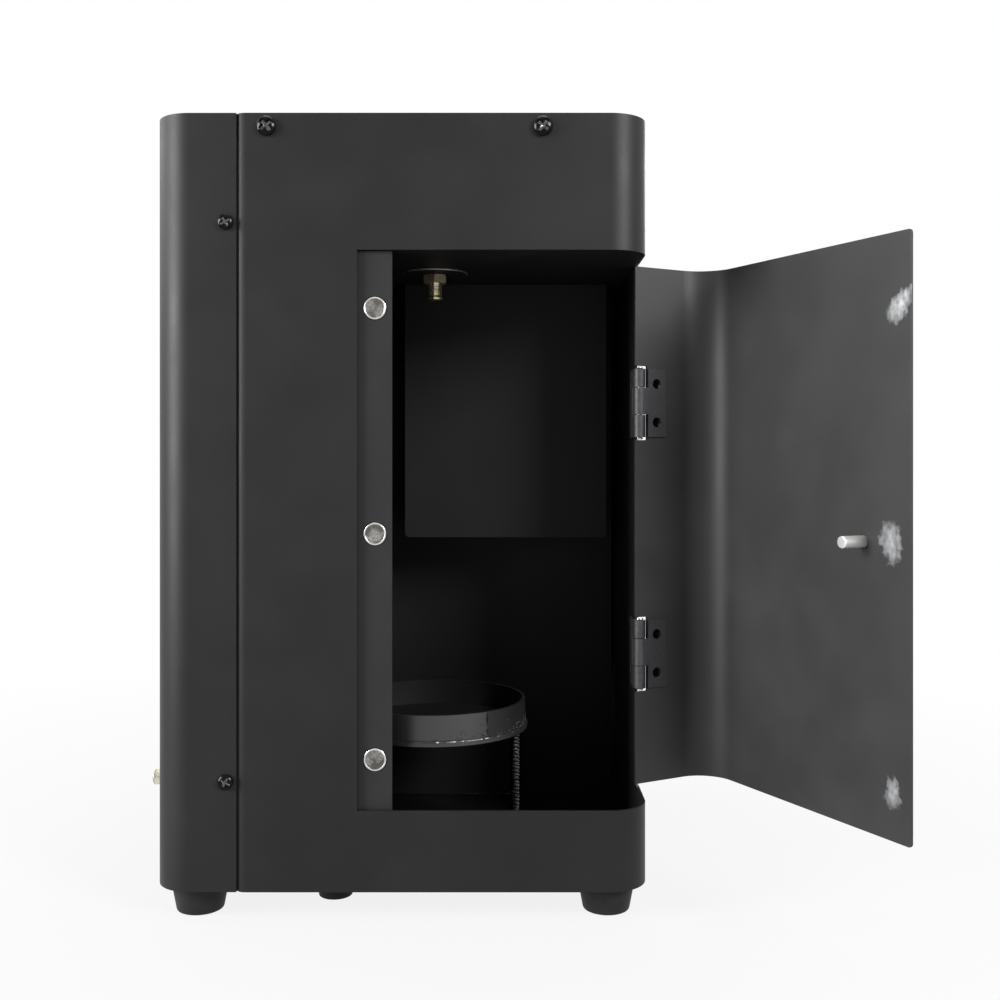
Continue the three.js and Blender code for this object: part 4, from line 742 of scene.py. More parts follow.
# %% [markdown]
# The screws have pan heads with a pressed cross. The head is a dome on a polar grid, and the cross is
# pressed into it: two arms whose depth fades out at their sides and ends, deeper where they meet. The
# driver has rubbed the black off the recess. A screw's sizes are shares of its head's radius R.


# %% Pan head screws
def smooth(value, low, high):
    """0 below low, 1 above high, and 3t^2 - 2t^3 between them."""
    t = np.clip((value - low) / (high - low), 0, 1)
    return t * t * (3 - 2 * t)


HEAD_HEIGHT, DOME_SPREAD, DOME_REACH, SIDE_SHARE = 0.68, 1.12, 0.94, 0.82
ARM_WIDTH, ARM_LENGTH, ARM_FLANK, ARM_TIP = 0.14, 0.6, 0.08, 0.14
SHANK_SHARE, RECESS_REACH, RECESS_DEPTH, RECESS_RISE = 0.5, 0.66, 0.52, 0.24


def cross_recess(head_radius, seat, turn):
    """A rule that sinks the head's top by the deeper of two arms, and more towards the middle."""
    def rule(radius, height, angle):
        x, y = radius * np.cos(angle - turn), radius * np.sin(angle - turn)
        arm_width, arm_length = head_radius * ARM_WIDTH, head_radius * ARM_LENGTH
        flank, tip = head_radius * ARM_FLANK, head_radius * ARM_TIP

        def arm(across, along):
            return (1 - smooth(abs(across), arm_width, arm_width + flank)) * (
                1 - smooth(abs(along), arm_length, arm_length + tip))

        deep = head_radius * (RECESS_DEPTH - RECESS_RISE * np.clip(radius / arm_length, 0, 1))
        sink = np.maximum(arm(x, y), arm(y, x)) * deep
        return radius, np.where(height > seat + 0.2, height - sink, height)
    return rule


def pan_screw(name, x, y, z, towards, head_radius, shank_end, turn):
    """A dome h = H sqrt(1 - (r / (DOME_SPREAD R))^2) down to a short side, with a shank behind it."""
    head_height = head_radius * HEAD_HEIGHT
    ring = np.linspace(0, DOME_REACH, 44)
    dome = head_height * np.sqrt(1 - (ring / DOME_SPREAD) ** 2)
    side_top, shank_radius = dome[-1] * SIDE_SHARE, head_radius * SHANK_SHARE
    top = [(head_radius * r, h) for r, h in zip(ring, dome)]
    side = [(head_radius, side_top), (head_radius, 0), (shank_radius, 0)]
    shank = [(shank_radius, -shank_end), (0, -shank_end)]
    rule = cross_recess(head_radius, side_top, math.radians(turn))
    screw = turned(name, (x, y, z), towards, top + side + shank, screw_black, 0.12, 96, rule)

    def in_the_recess(corners):
        """The recess's walls and floor, more than 0.1 mm under the dome."""
        radius = away(corners, (x, z), (0, 2)).clip(0, head_radius)
        dome_here = head_height * np.sqrt(1 - (radius / (DOME_SPREAD * head_radius)) ** 2)
        height = abs(corners[:, 1] - y)
        in_front = (corners[:, 1] - y) * (1 if towards == "back" else -1) > 0
        return in_front & (radius < head_radius * RECESS_REACH) & (dome_here - height > 0.1)

    return also(screw, recess_steel, in_the_recess)


FRONT_SEAT = FRONT - SEAT_GAP
SHANK, SHORT_SHANK = 9.0, 1.4
for node, turn in (
    ("top_screw_left", 38), ("top_screw_right", 52), ("cover_screw_upper", 30), ("cover_screw_lower", 61),
):
    _, _, (x, _, z), head = whole(node)
    screw = pan_screw(f"{node}_cross", x, FRONT_SEAT, z, "front", head, SHANK, turn)
    finish_piece(screw, "cabinet", [node])
print("screws", 4)

# %% [markdown]
# The back is held by the same screws, which the photograph doesn't show. They are placed opposite the
# front ones, where the cover laps over the shell and where the top plate is folded down.

# %% Screws in the back
for partner, turn in (
    ("top_screw_left", 20), ("top_screw_right", 75), ("cover_screw_upper", 44), ("cover_screw_lower", 8),
):
    _, _, (x, _, z), head = whole(partner)
    screw = pan_screw(f"back_{partner}", x, BACK + 0.05, z, "back", head, SHORT_SHANK, turn)
    finish_piece(screw, "cabinet")
print("back screws", 4)

# %% [markdown]
# Three nickel plated disc magnets hold the door. Each is a disc let into a hole that leaves a dark ring
# round it. Its face is worn and stained inside a bright rounded rim that stands a little higher.

# %% Magnets and fitting washer
RIM_WIDTH, RIM_HEIGHT = 0.75, 0.18
for height in ("upper", "middle", "lower"):
    node = f"magnet_{height}"
    low, high, (x, _, z), radius = whole(node)
    thickness = high[1] - low[1]
    face, rim = thickness - RIM_HEIGHT, radius - RIM_WIDTH
    disc_profile = [
        (0, 0), (radius, 0), (radius, thickness - 0.25), (radius - 0.35, thickness),
        (rim, thickness), (rim - 0.3, face), (0, face),
    ]
    disc = turned(f"{node}_disc", (x, high[1], z), "front", disc_profile, nickel, 0.3)
    also(disc, magnet_nickel, lambda c: (away(c, (x, z), (0, 2)) < rim - 0.1) & (c[:, 1] < high[1] - 1))
    finish_piece(disc, "cabinet", [node])

WASHER_HOLE = 5.05
low, high, (x, y, _), washer_radius = whole("fitting_washer")
thickness = high[2] - low[2]
washer_profile = [
    (WASHER_HOLE, 0), (washer_radius, 0), (washer_radius, thickness), (WASHER_HOLE, thickness),
    (WASHER_HOLE, 0),
]
# The washer's face gets the chamber's dark coat, painted shade, and a band of steel round its rim stands
# for the light along it: a painted highlight.
washer = turned("fitting_washer_disc", (x, y, low[2]), "up", washer_profile, chamber_light_and_shade_coat, 0.3, 96)
also(washer, washer_rim_highlight_steel, lambda c: away(c, (x, y)) > washer_radius - 0.6)
finish_piece(washer, "cabinet", ["fitting_washer"])
print("magnet radius", round(radius, 1), "washer radius", round(washer_radius, 1))

# %% [markdown]
# The can fitting is turned from hexagon brass bar. The hexagon's chamfers come from the smaller of two
# radii: that of the hexagon at each angle, and that of a cone at each height. The spigot below it has a
# rolled lip, a shallow thread above the lip and a seal inside its mouth.


# %% Hexagons and threads
# A hexagon's corner lies this many times as far out as the middle of its side
HEX_CORNER = 1.155


def hexagon(angle, flats):
    """Distance from the axis to the side of a hexagon, at each angle."""
    turn = (angle + np.pi / 6) % (np.pi / 3) - np.pi / 6
    return flats / 2 / np.cos(turn)


def hex_rule(low, high, flats, chamfer=0.55):
    """Between two heights the radius is the hexagon's, cut back by a cone towards both ends."""
    def rule(radius, height, angle):
        near_end = np.minimum(height - low, high - height)
        cone = flats / 2 * HEX_CORNER - np.clip(chamfer - near_end, 0, chamfer) * 1.7
        inside = (height > low - 1e-6) & (height < high + 1e-6) & (radius > flats * 0.4)
        return np.where(inside, np.minimum(hexagon(angle, flats), cone), radius), height
    return rule


def thread_rule(low, high, inner, pitch, depth):
    """Between two heights the radius drops by a triangle wave of height / pitch - angle / 2 pi."""
    def rule(radius, height, angle):
        phase = (height / pitch - angle / (2 * np.pi)) % 1
        groove = depth * 2 * np.abs(phase - 0.5)
        fade = smooth(height, low, low + pitch) * (1 - smooth(height, high - pitch, high))
        inside = (height > low) & (height < high) & (radius > inner)
        return np.where(inside, radius - groove * fade, radius), height
    return rule


def both(first, second):
    """Two rules, one after the other."""
    def rule(radius, height, angle):
        radius, height = first(radius, height, angle)
        return second(radius, height, angle)
    return rule


def steps_between(radius, low, high, count):
    """Points up a straight side, close enough together for a thread to show."""
    return [(radius, h) for h in np.linspace(low, high, count)]


# %% The can fitting
low, high, (x, y, _), _ = whole("can_fitting")
TIP = low[2]
HEX_LOW, HEX_HIGH, HEX_FLATS = TIP + 9.5, TIP + 14.3, 12.7
SPIGOT, LIP, BORE, SEAL_BORE, TAIL = 4.0, 4.45, 1.6, 3.4, 4.75
SEAL_TOP = TIP + 2.8
fitting_profile = [
    (BORE, SEAL_TOP), (SEAL_BORE, SEAL_TOP), (SEAL_BORE, TIP), (LIP, TIP), (LIP, TIP + 1.5),
    (SPIGOT, TIP + 2.1), *steps_between(SPIGOT, TIP + 2.6, HEX_LOW - 1, 60), (SPIGOT, HEX_LOW),
    (HEX_FLATS / 2, HEX_LOW), *steps_between(HEX_FLATS / 2 * HEX_CORNER, HEX_LOW, HEX_HIGH, 16),
    (HEX_FLATS / 2, HEX_HIGH), (TAIL, HEX_HIGH), (TAIL, high[2]), (BORE, high[2]), (BORE, SEAL_TOP),
]
fitting_rule = both(
    hex_rule(HEX_LOW, HEX_HIGH, HEX_FLATS), thread_rule(TIP + 5.4, HEX_LOW - 0.6, 3.9, 0.9, 0.08),
)
fitting = turned(
    "can_fitting_turned", (x, y, 0), "up", fitting_profile, fitting_brass, 0.18, 120, fitting_rule)
also(fitting, hex_brass, lambda c: (c[:, 2] > HEX_LOW - 0.01) & (c[:, 2] < HEX_HIGH + 0.01))
finish_piece(fitting, "cabinet", ["can_fitting"])
print("fitting", np.round(high - low, 1), "mm")

# %% [markdown]
# Two coil springs lift the fuel cup. A spring's wire follows a helix, with a ring of corners round
# each point of it. The rings lie in the plane of the outward direction and its own normal, so the tube
# never twists, and both ends close on a single point.


# %% Coil springs
def wire_along(points, outward, wire_radius, sides=10):
    """Rings of corners round a line of points: centre + r (cos a outward + sin a across)."""
    forward = np.gradient(points, axis=0)
    forward /= np.linalg.norm(forward, axis=1, keepdims=True)
    outward = outward - (outward * forward).sum(1, keepdims=True) * forward
    outward /= np.linalg.norm(outward, axis=1, keepdims=True)
    across = np.cross(forward, outward)
    angle = circle(sides)[None, :, None]
    round_it = np.cos(angle) * outward[:, None] + np.sin(angle) * across[:, None]
    rings = points[:, None] + wire_radius * round_it
    ends = [np.repeat(points[i][None, None], sides, axis=1) for i in (0, -1)]
    return np.concatenate([ends[0], rings, ends[1]])


SPRING_TURNS, SPRING_STEPS, WIRE = 32, 24, 0.5
for side in ("left", "right"):
    node = f"cup_spring_{side}"
    low, high, (x, y, _), outer_radius = whole(node)
    length, coil_radius = high[2] - low[2], outer_radius - WIRE
    turn = np.linspace(0, SPRING_TURNS, SPRING_TURNS * SPRING_STEPS + 1)
    angle = turn * 2 * np.pi
    rise = low[2] + 2 * WIRE + (length - 4 * WIRE) * turn / SPRING_TURNS
    helix = np.stack([x + coil_radius * np.cos(angle), y + coil_radius * np.sin(angle), rise], axis=1)
    outward = outwards(angle)
    coil = ring_piece(f"{node}_coil", wire_along(helix, outward, WIRE), spring_wire)
    finish_piece(coil, "cabinet", [node])
    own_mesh(coil)

# %% Guide rods
ROD, ROD_HEAD, HEAD_DEPTH = 2.0, 2.9, 1.6
for side in ("left", "right"):
    node = f"guide_rod_{side}"
    low, high, (x, y, _), _ = whole(node)
    under = high[2] - HEAD_DEPTH
    rod_profile = [
        (0, low[2]), (ROD, low[2]), (ROD, under), (ROD_HEAD, under), (ROD_HEAD, high[2]), (0, high[2]),
    ]
    rod = turned(f"{node}_turned", (x, y, 0), "up", rod_profile, zinc, 0.4, 32)
    finish_piece(rod, "cabinet", [node])
print("guide rods", 2)

# %% [markdown]
# The cup is a strip rolled into a ring and welded onto a disc. The photograph shows the butt seam down
# the ring, a ragged bead along the foot of its right hand side, and spatter round it, all under paint.
# The bead is a tube whose radius ripples, and the spatter is a spray of flattened drops.

# %% Weld bead and spatter
rng = np.random.default_rng(7)


def bead(name, points, outward, radius, ripple, material):
    """A tube whose radius is r (1 + ripple * noise), with smooth noise along and round it."""
    rings = wire_along(points, outward, radius, 8)
    centre = np.concatenate([points[:1], points, points[-1:]])[:, None]
    lumps = rng.standard_normal(len(points) // 3 + 4)
    along = np.interp(np.arange(len(centre)) / 3, np.arange(len(lumps)), lumps)
    growth = 1 + ripple * np.clip(along, -1.2, 1.6)
    rings = centre + (rings - centre) * growth[:, None, None]
    return ring_piece(name, rings, material)


sweep = np.radians(np.linspace(-100, 28, 190))
around = outwards(sweep)
foot_line = np.array([cup_x, cup_y, RING_FOOT + 0.1]) + around * (RING_RADIUS + 0.25)
foot_bead = bead("cup_foot_weld", foot_line, around, 0.75, 0.42, lit_cup_coat)
finish_piece(foot_bead, "cup")

seam_out = np.array([math.cos(SEAM_ANGLE), math.sin(SEAM_ANGLE), 0.0])
seam_rise = np.linspace(RING_FOOT + 0.4, cup_high[2] - 0.3, 28)
seam_line = np.array([cup_x, cup_y, 0]) + seam_out * (RING_RADIUS - 0.12)
seam_line = np.repeat(seam_line[None], len(seam_rise), axis=0)
seam_line[:, 2] = seam_rise
seam_outward = np.repeat(seam_out[None], len(seam_rise), axis=0)
seam = bead("cup_seam_weld", seam_line, seam_outward, 0.42, 0.6, inner_shade_and_seam_coat)
finish_piece(seam, "cup")

DROPS = 150
drop_angle = np.radians(rng.uniform(-75, 20, DROPS))
drop_rise = RING_FOOT + 1.0 + rng.exponential(1.6, DROPS).clip(0, 9)
drop_size = rng.uniform(0.12, 0.5, DROPS)
drop_out = outwards(drop_angle)
drop_centre = np.array([cup_x, cup_y, 0]) + drop_out * RING_RADIUS
drop_centre[:, 2] = drop_rise
u, v = np.meshgrid(np.linspace(0, np.pi, 6), circle(8), indexing="ij")
ball = np.stack([np.sin(u) * np.cos(v), np.sin(u) * np.sin(v), np.cos(u)], axis=-1).reshape(-1, 3)
drops = drop_centre[:, None] + ball[None] * drop_size[:, None, None]
ball_faces = grid_faces(6, 8)
drop_faces = ball_faces[None] + (np.arange(DROPS) * len(ball))[:, None, None]
spatter = mesh_piece("cup_weld_spatter", drops.reshape(-1, 3), drop_faces.reshape(-1, 4), lit_cup_coat)
finish_piece(spatter, "cup")
print("weld drops", DROPS)

# %% [markdown]
# The door hangs on two butt hinges. Their leaves are the frame's own pieces with rounded edges, held
# by dished rivets that sit a little below the face of the leaf, and the bright headed pins are turned
# again. The flat of a door leaf is darker than its knuckles.

# %% Hinges
LEAF_HOLE_SETBACK, LEAF_HOLE_SPACING = 9.5, 21.4
RIVET_RADIUS, DISH_SHARE, DISH_DEPTH = 2.75, 0.86, 0.4
RIVET_TOP, RIVET_END = -0.35, -1.05
NECK, PIN_HEAD, PIN_CHAMFER = 1.5, 0.9, 0.86
KNUCKLE_REACH = 4.2


def rivet(name, place, outward, body):
    """A dish h = D ((r / R)^2 - 1) inside a narrow rim, laid along any level direction."""
    ring = np.linspace(0, DISH_SHARE, 12)
    dish = [(RIVET_RADIUS * r, DISH_DEPTH * (r * r - 1) + RIVET_TOP) for r in ring]
    tail = [(RIVET_RADIUS, RIVET_TOP), (RIVET_RADIUS, RIVET_END), (0, RIVET_END)]
    line = rounded(dish + tail, 0.1, 3)
    angle = circle(40)[None, :]
    side = np.array([-outward[1], outward[0], 0.0])
    up = np.array([0.0, 0.0, 1.0])
    grid = (line[:, :1] * np.cos(angle))[..., None] * side + (line[:, :1] * np.sin(angle))[..., None] * up
    grid = grid + line[:, 1][:, None, None] * np.array(outward) + np.array(place)
    finish_piece(ring_piece(name, grid, screw_black), body)


leaf_inner_x = span("upper_hinge_frame_leaf")[0][0]


def on_a_knuckle(corners):
    """The rolled part of a leaf, no further from the pins' line than the knuckles reach."""
    return away(corners, pin_middle) < KNUCKLE_REACH


for level in ("upper", "lower"):
    dress(f"{level}_hinge_frame_leaf", hinge_steel, 0.2, 40)
    dress(f"{level}_hinge_door_leaf", leaf_steel, 0.2, 40, second=(hinge_steel, on_a_knuckle))
    low, high, (x, y, z), head = whole(f"{level}_hinge_pin")
    over, under = low[2] + PIN_HEAD, high[2] - PIN_HEAD
    pin_profile = [
        (0, low[2]), (head * PIN_CHAMFER, low[2]), (head, over), (NECK, over),
        (NECK, under), (head, under), (head * PIN_CHAMFER, high[2]), (0, high[2]),
    ]
    pin = turned(f"{level}_hinge_pin_turned", (x, y, 0), "up", pin_profile, nickel, 0.35, 40)
    finish_piece(pin, "cabinet", [f"{level}_hinge_pin"])
    for half, sign in (("upper", 1), ("lower", -1)):
        rivet_z = z + sign * LEAF_HOLE_SPACING / 2
        frame_place = (leaf_inner_x, y + LEAF_HOLE_SETBACK, rivet_z)
        rivet(f"{level}_hinge_frame_rivet_{half}", frame_place, (-1.0, 0.0, 0.0), "cabinet")
        door_xy = opened(leaf_inner_x, y - LEAF_HOLE_SETBACK)
        inward = (-math.cos(DOOR_OPEN), -math.sin(DOOR_OPEN), 0.0)
        rivet(f"{level}_hinge_door_rivet_{half}", (*door_xy, rivet_z), inward, "door")
print("rivets", 8)

# %% [markdown]
# The door's knob is turned with its shank, whose end shows inside the door. That end is pale and partly
# matt, a painted sheen that makes it read bright. On the door's outer side its rim is knurled: the
# radius rises and falls with the angle, between two heights.


# %% The knob
def knurl_rule(low, high, outer, count, depth):
    """Between two heights the radius drops by depth * |sin(count a)|, away from the edges."""
    def rule(radius, height, angle):
        fade = smooth(height, low, low + 0.6) * (1 - smooth(height, high - 0.6, high))
        inside = radius > outer - 0.3
        return np.where(inside, radius - depth * np.abs(np.sin(count * angle / 2)) * fade, radius), height
    return rule


def aimed(name, start, direction, profile, material, edge, sides, rule=None):
    """A turned piece along any level direction: the up-facing form turned to lie along it."""
    piece = turned(name, (0, 0, 0), "up", profile, material, edge, sides, rule)
    points = places_of(piece.data)
    w = np.array(direction, float)
    u = np.array([0.0, 0.0, 1.0])
    v = np.cross(w, u)
    points = points[:, :1] * u + points[:, 1:2] * v + points[:, 2:] * w + np.array(start) * MM
    piece.data.vertices.foreach_set("co", points.reshape(-1))
    piece.data.update()
    return piece


OPENING_REACH, KNOB_FROM_DOOR_EDGE = 150.5, 31.0
KNOB_RADIUS, SHANK_RADIUS, KNURL_LOW, KNURL_HIGH = 10, 3.0, 7.2, 12.8
opening_left = shell_high[0] - OPENING_REACH
knob_z = middle("door_knob")[2]
knob_xy = opened(opening_left + KNOB_FROM_DOOR_EDGE, FRONT_SEAT)
door_outward = tuple(-value for value in door_inward)
knob_profile = [
    (0, -15.8), (2.7, -15.8), (SHANK_RADIUS, -15.4), (SHANK_RADIUS, 0), (6.5, 0), (6.5, 5),
    (KNOB_RADIUS, 7), *steps_between(KNOB_RADIUS, KNURL_LOW, KNURL_HIGH, 10), (KNOB_RADIUS, 13),
    (8, 15), (7, 15), (6.4, 14.5), (0, 14.5),
]
knob = aimed(
    "door_knob_turned", (*knob_xy, knob_z), door_outward, knob_profile, nickel, 0.5, 144,
    knurl_rule(KNURL_LOW, KNURL_HIGH, KNOB_RADIUS, 72, 0.35),
)


def on_the_shank(corners):
    """The part of the knob's shank that stands inside the door."""
    return (corners[:, :2] - knob_xy) @ np.array(door_outward[:2]) < 0.1


# The shank's end is pale and partly matt: a painted sheen.
also(knob, pale_sheen_shank, on_the_shank)
finish_piece(knob, "door", ["door_knob"])
print("knob at", np.round(knob_xy, 1), round(float(knob_z), 1))

# %% [markdown]
# The left hand wall carries the controls. Its buttons have dished tops, its earth terminal has a
# knurled thumb nut, and an unlit row of display digits shows dimly through the smoked window.

# %% Buttons
KEY, KEY_FLANGE, KEY_DISH = 3.8, 5.4, 3.0
for name in ("up", "down", "menu", "enter"):
    node = f"button_{name}"
    low, high, (_, y, z), _ = whole(node)
    length = high[0] - low[0]
    dish = [(r, 0.45 * (1 - (r / KEY_DISH) ** 2)) for r in np.linspace(0, KEY_DISH, 8)]
    button_profile = [
        *dish, (3.5, 0.05), (KEY, 0.4), (KEY, 3.3), (KEY_FLANGE, 3.3), (KEY_FLANGE, 4.3), (KEY, 4.3),
        (KEY, length), (0, length),
    ]
    key = turned(f"{node}_key", (low[0], y, z), "right", button_profile, key_plastic, 0.15, 48)
    finish_piece(key, f"{name}_key", [node])
print("button length", round(length, 2), "mm")

# %% Earth terminal
low, high, (_, y, z), _ = whole("earth_terminal")
seat = WALL - SEAT_GAP
BOLT, THUMB, THUMB_FACE = 2.5, 4.2, 3.6
lock_flats, lock_height = 8.0, 3.2
thumb_low, thumb_high = 6.2, 12.2
inside_length = high[0] - seat
terminal_profile = [
    (0, -inside_length), (BOLT, -inside_length), (BOLT, 0), (lock_flats / 2, 0),
    *steps_between(lock_flats / 2 * HEX_CORNER, 0, lock_height, 12), (lock_flats / 2, lock_height),
    (BOLT, lock_height), *steps_between(BOLT, lock_height + 0.2, thumb_low - 0.2, 30), (BOLT, thumb_low),
    (THUMB_FACE, thumb_low), *steps_between(THUMB, thumb_low + 0.6, thumb_high - 0.6, 10),
    (THUMB_FACE, thumb_high), (1.4, thumb_high), (1.4, thumb_high - 0.5), (0, thumb_high - 0.5),
]
terminal_rule = both(
    hex_rule(0, lock_height, lock_flats, 0.4),
    both(thread_rule(lock_height + 0.2, thumb_low - 0.2, 2.4, 0.8, 0.25),
         knurl_rule(thumb_low + 0.6, thumb_high - 0.6, THUMB, 40, 0.3)),
)
terminal = turned(
    "earth_terminal_turned", (seat, y, z), "left", terminal_profile, plated_brass, 0.15, 160,
    terminal_rule,
)
finish_piece(terminal, "cabinet", ["earth_terminal"])
print("terminal reach", round(WALL - low[0], 1), "mm")

# %% Display digits
DIGITS, DIGIT_PITCH, DIGIT_HEIGHT, DIGIT_WIDTH = 4, 11.6, 13.0, 7.0
SEGMENT, SLANT = 1.5, 0.12
board_low, _ = span("control_board")
display_z = middle("display_window")[2]
digit_x = board_low[0]


def segment_outline(length, thick):
    """A bar with pointed ends: six corners round the origin, along the first direction."""
    h, t = length / 2, thick / 2
    return np.array([(-h, 0), (t - h, t), (h - t, t), (h, 0), (h - t, -t), (t - h, -t)])


def digit_segments():
    """The seven bars of a digit as outlines: three level ones, and four upright ones."""
    w, h = DIGIT_WIDTH, DIGIT_HEIGHT
    level = segment_outline(w - 0.5, SEGMENT)
    upright = segment_outline(h / 2 - 0.5, SEGMENT)[:, ::-1]
    placed = [level + (0, dy) for dy in (-h / 2, 0, h / 2)]
    placed += [upright + (dx, dy) for dx in (-w / 2, w / 2) for dy in (-h / 4, h / 4)]
    angle = circle(6)
    placed.append(np.stack([np.cos(angle), np.sin(angle)], axis=1) * 0.8 + (w / 2 + 1.9, -h / 2))
    return np.array(placed)


outlines = digit_segments()
outlines[..., 0] += outlines[..., 1] * SLANT
shift = (np.arange(DIGITS) - (DIGITS - 1) / 2) * DIGIT_PITCH
bars = np.repeat(outlines[None], DIGITS, axis=0)
bars[..., 0] += shift[:, None, None]
bars = bars.reshape(-1, 6, 2)
layers = []
for x in (digit_x - 0.25, digit_x - 0.02):
    depth = np.full(bars.shape[:2], x)
    layers.append(np.stack([depth, -bars[..., 0], bars[..., 1] + display_z], axis=-1))
prisms = np.concatenate(layers, axis=1)
start = np.arange(len(bars))[:, None, None] * 12
ring_index = np.arange(6)
walls = np.stack([ring_index, (ring_index + 1) % 6, (ring_index + 1) % 6 + 6, ring_index + 6], axis=1)
caps = np.array([(0, 1, 2, 3), (0, 3, 4, 5), (6, 7, 8, 9), (6, 9, 10, 11)])
prism_faces = (np.concatenate([walls, caps])[None] + start).reshape(-1, 4)
digits = mesh_piece("display_segments", prisms.reshape(-1, 3), prism_faces, segment_red)
finish_piece(digits, "cabinet")
print("segments", len(bars))

# %% Data sockets
SOCKET_PITCH, PIN_CIRCLE, PIN_REACH, INSERT_RADIUS, BORE_DEPTH = 46.0, 4.0, 1.4, 7.6, 12.0
PIN_ANGLES = np.radians((90, 210, 330))
socket_face = span("dmx_in_socket")[0][0]
socket_z = middle("dmx_in_socket")[2]
in_y, out_y = -SOCKET_PITCH / 2, SOCKET_PITCH / 2
insert_end = socket_face + BORE_DEPTH + 0.05


def from_axis(corners, y):
    """How far corners lie from the axis of the socket at y."""
    return away(corners, (y, socket_z), (1, 2))


def on_a_pin(corners):
    """The three contact pins of the incoming socket, as far as the bore's floor."""
    y = in_y + PIN_CIRCLE * np.cos(PIN_ANGLES)
    z = socket_z + PIN_CIRCLE * np.sin(PIN_ANGLES)
    nearest = np.hypot(corners[:, 1:2] - y, corners[:, 2:3] - z).min(axis=1)
    return (nearest < PIN_REACH) & (corners[:, 0] > socket_face + 1) & (corners[:, 0] < insert_end)


data_in = dress("dmx_in_socket", nickel, 0.2, 40)
BORE_RADIUS = 9.6
bore_floor = socket_face + BORE_DEPTH
also(data_in, plastic, lambda c: (from_axis(c, in_y) < BORE_RADIUS) & (abs(c[:, 0] - bore_floor) < 0.1))
also(data_in, brass, on_a_pin)
data_out = dress("dmx_out_socket", nickel, 0.2, 40)
also(data_out, plastic, lambda c: (from_axis(c, out_y) < INSERT_RADIUS + 0.1) & (c[:, 0] < insert_end))
print("socket face", round(float(socket_face), 1), "axis height", round(float(socket_z), 1))

# %% Mains inlet and rocker
inlet_low, inlet_high = span("power_inlet")
inlet_z = (inlet_low[2] + inlet_high[2]) / 2
cavity_z = inlet_z - 11.0
BLADES = ((-7.0, -2.0), (0.0, 2.0), (7.0, -2.0))


def on_a_blade(corners):
    """The three contact blades inside the inlet's cavity."""
    y, z = np.array(BLADES).T
    near = (abs(corners[:, 1:2] - y) < 1.1) & (abs(corners[:, 2:3] - cavity_z - z) < 2.1)
    return near.any(axis=1) & (corners[:, 0] > inlet_low[0] + 3) & (corners[:, 0] < inlet_low[0] + 16.1)


also(dress("power_inlet", plastic, 0.25, 40), nickel, on_a_blade)
dress("power_rocker", key_plastic, 0.25, 50)

# The rocker's two faces rise from its middle to its ends, and it is tipped over by its tilt
ROCKER_TILT = math.radians(-10)
ROCKER_PIVOT = np.array((inlet_low[0] + 1.5, 0.0, inlet_z + 15.6))
FACE_RISE = 1.6 / 8.0
MARK_TOP, MARK_FOOT = 0.06, 0.005


def on_rocker(along, across, lift):
    """A place on the rocker's face: along it from the middle, across it, and lifted off it."""
    slope = math.atan(FACE_RISE)
    out = 2.5 + np.abs(along) * FACE_RISE + lift / math.cos(slope)
    x, z = -out, along
    cos, sin = math.cos(ROCKER_TILT), math.sin(ROCKER_TILT)
    return np.stack([x * cos + z * sin, across, z * cos - x * sin], axis=-1) + ROCKER_PIVOT


def printed(name, outer, inner):
    """A thin mark on the rocker between two outlines: four rings of corners, each joined to the next."""
    points = [on_rocker(*ring.T, lift) for lift in (MARK_TOP, MARK_FOOT) for ring in (outer, inner)]
    count = len(outer)
    k = np.arange(count)
    following = (k + 1) % count
    faces = [
        np.stack([first * count + k, first * count + following, second * count + following,
                  second * count + k], axis=1)
        for first, second in ((0, 1), (1, 3), (3, 2), (2, 0))
    ]
    piece = mesh_piece(name, np.concatenate(points), np.concatenate(faces), mark_white)
    finish_piece(piece, "rocker")


turn = circle(40)
ring_mark = np.stack([4.6 + 1.7 * np.cos(turn), 1.4 * np.sin(turn)], axis=1)
ring_hole = np.stack([4.6 + 1.3 * np.cos(turn), 1.0 * np.sin(turn)], axis=1)
bar_mark = np.array([(-6.2, -0.25), (-6.2, 0.25), (-3.0, 0.25), (-3.0, -0.25)])
bar_hole = np.array([(-6.19, -0.001), (-6.19, 0.001), (-3.01, 0.001), (-3.01, -0.001)])
printed("rocker_off_ring", ring_mark, ring_hole)
printed("rocker_on_bar", bar_mark, bar_hole)
print("rocker pivot", np.round(ROCKER_PIVOT, 1))

# %% Board, window and the pieces inside the control side
dress("display_window", acrylic, 0.2)
dress("control_board", board_green, 0, second=(plastic, lambda c: c[:, 0] < board_low[0] + 8))
dress("power_supply", zinc, 0.3)
dress("tip_switch_body", plastic, 0.3)
print("board face", round(float(board_low[0]), 1))

# %% Machinery behind the panels
INNER = (
    ("ignition_transformer", resin, 0.5), ("fitting_seal", rubber, 0.1), ("fitting_nut", brass, 0.2),
    ("valve_body", brass, 0.3), ("valve_coil", plastic, 0.3), ("fuel_inlet_pipe", copper, 0, 70),
    ("fuel_outlet_pipe", copper, 0, 70), ("outlet_collar", collar_steel),
)
for node, *finish in INNER:
    dress(node, *finish)
print("inner pieces", len(INNER))

# %% [markdown]
# Inside the outlet stand the brass jet and two electrodes. An electrode is a glazed bushing with a
# steel rod bent over towards the jet's tip, so it is made as two pieces.

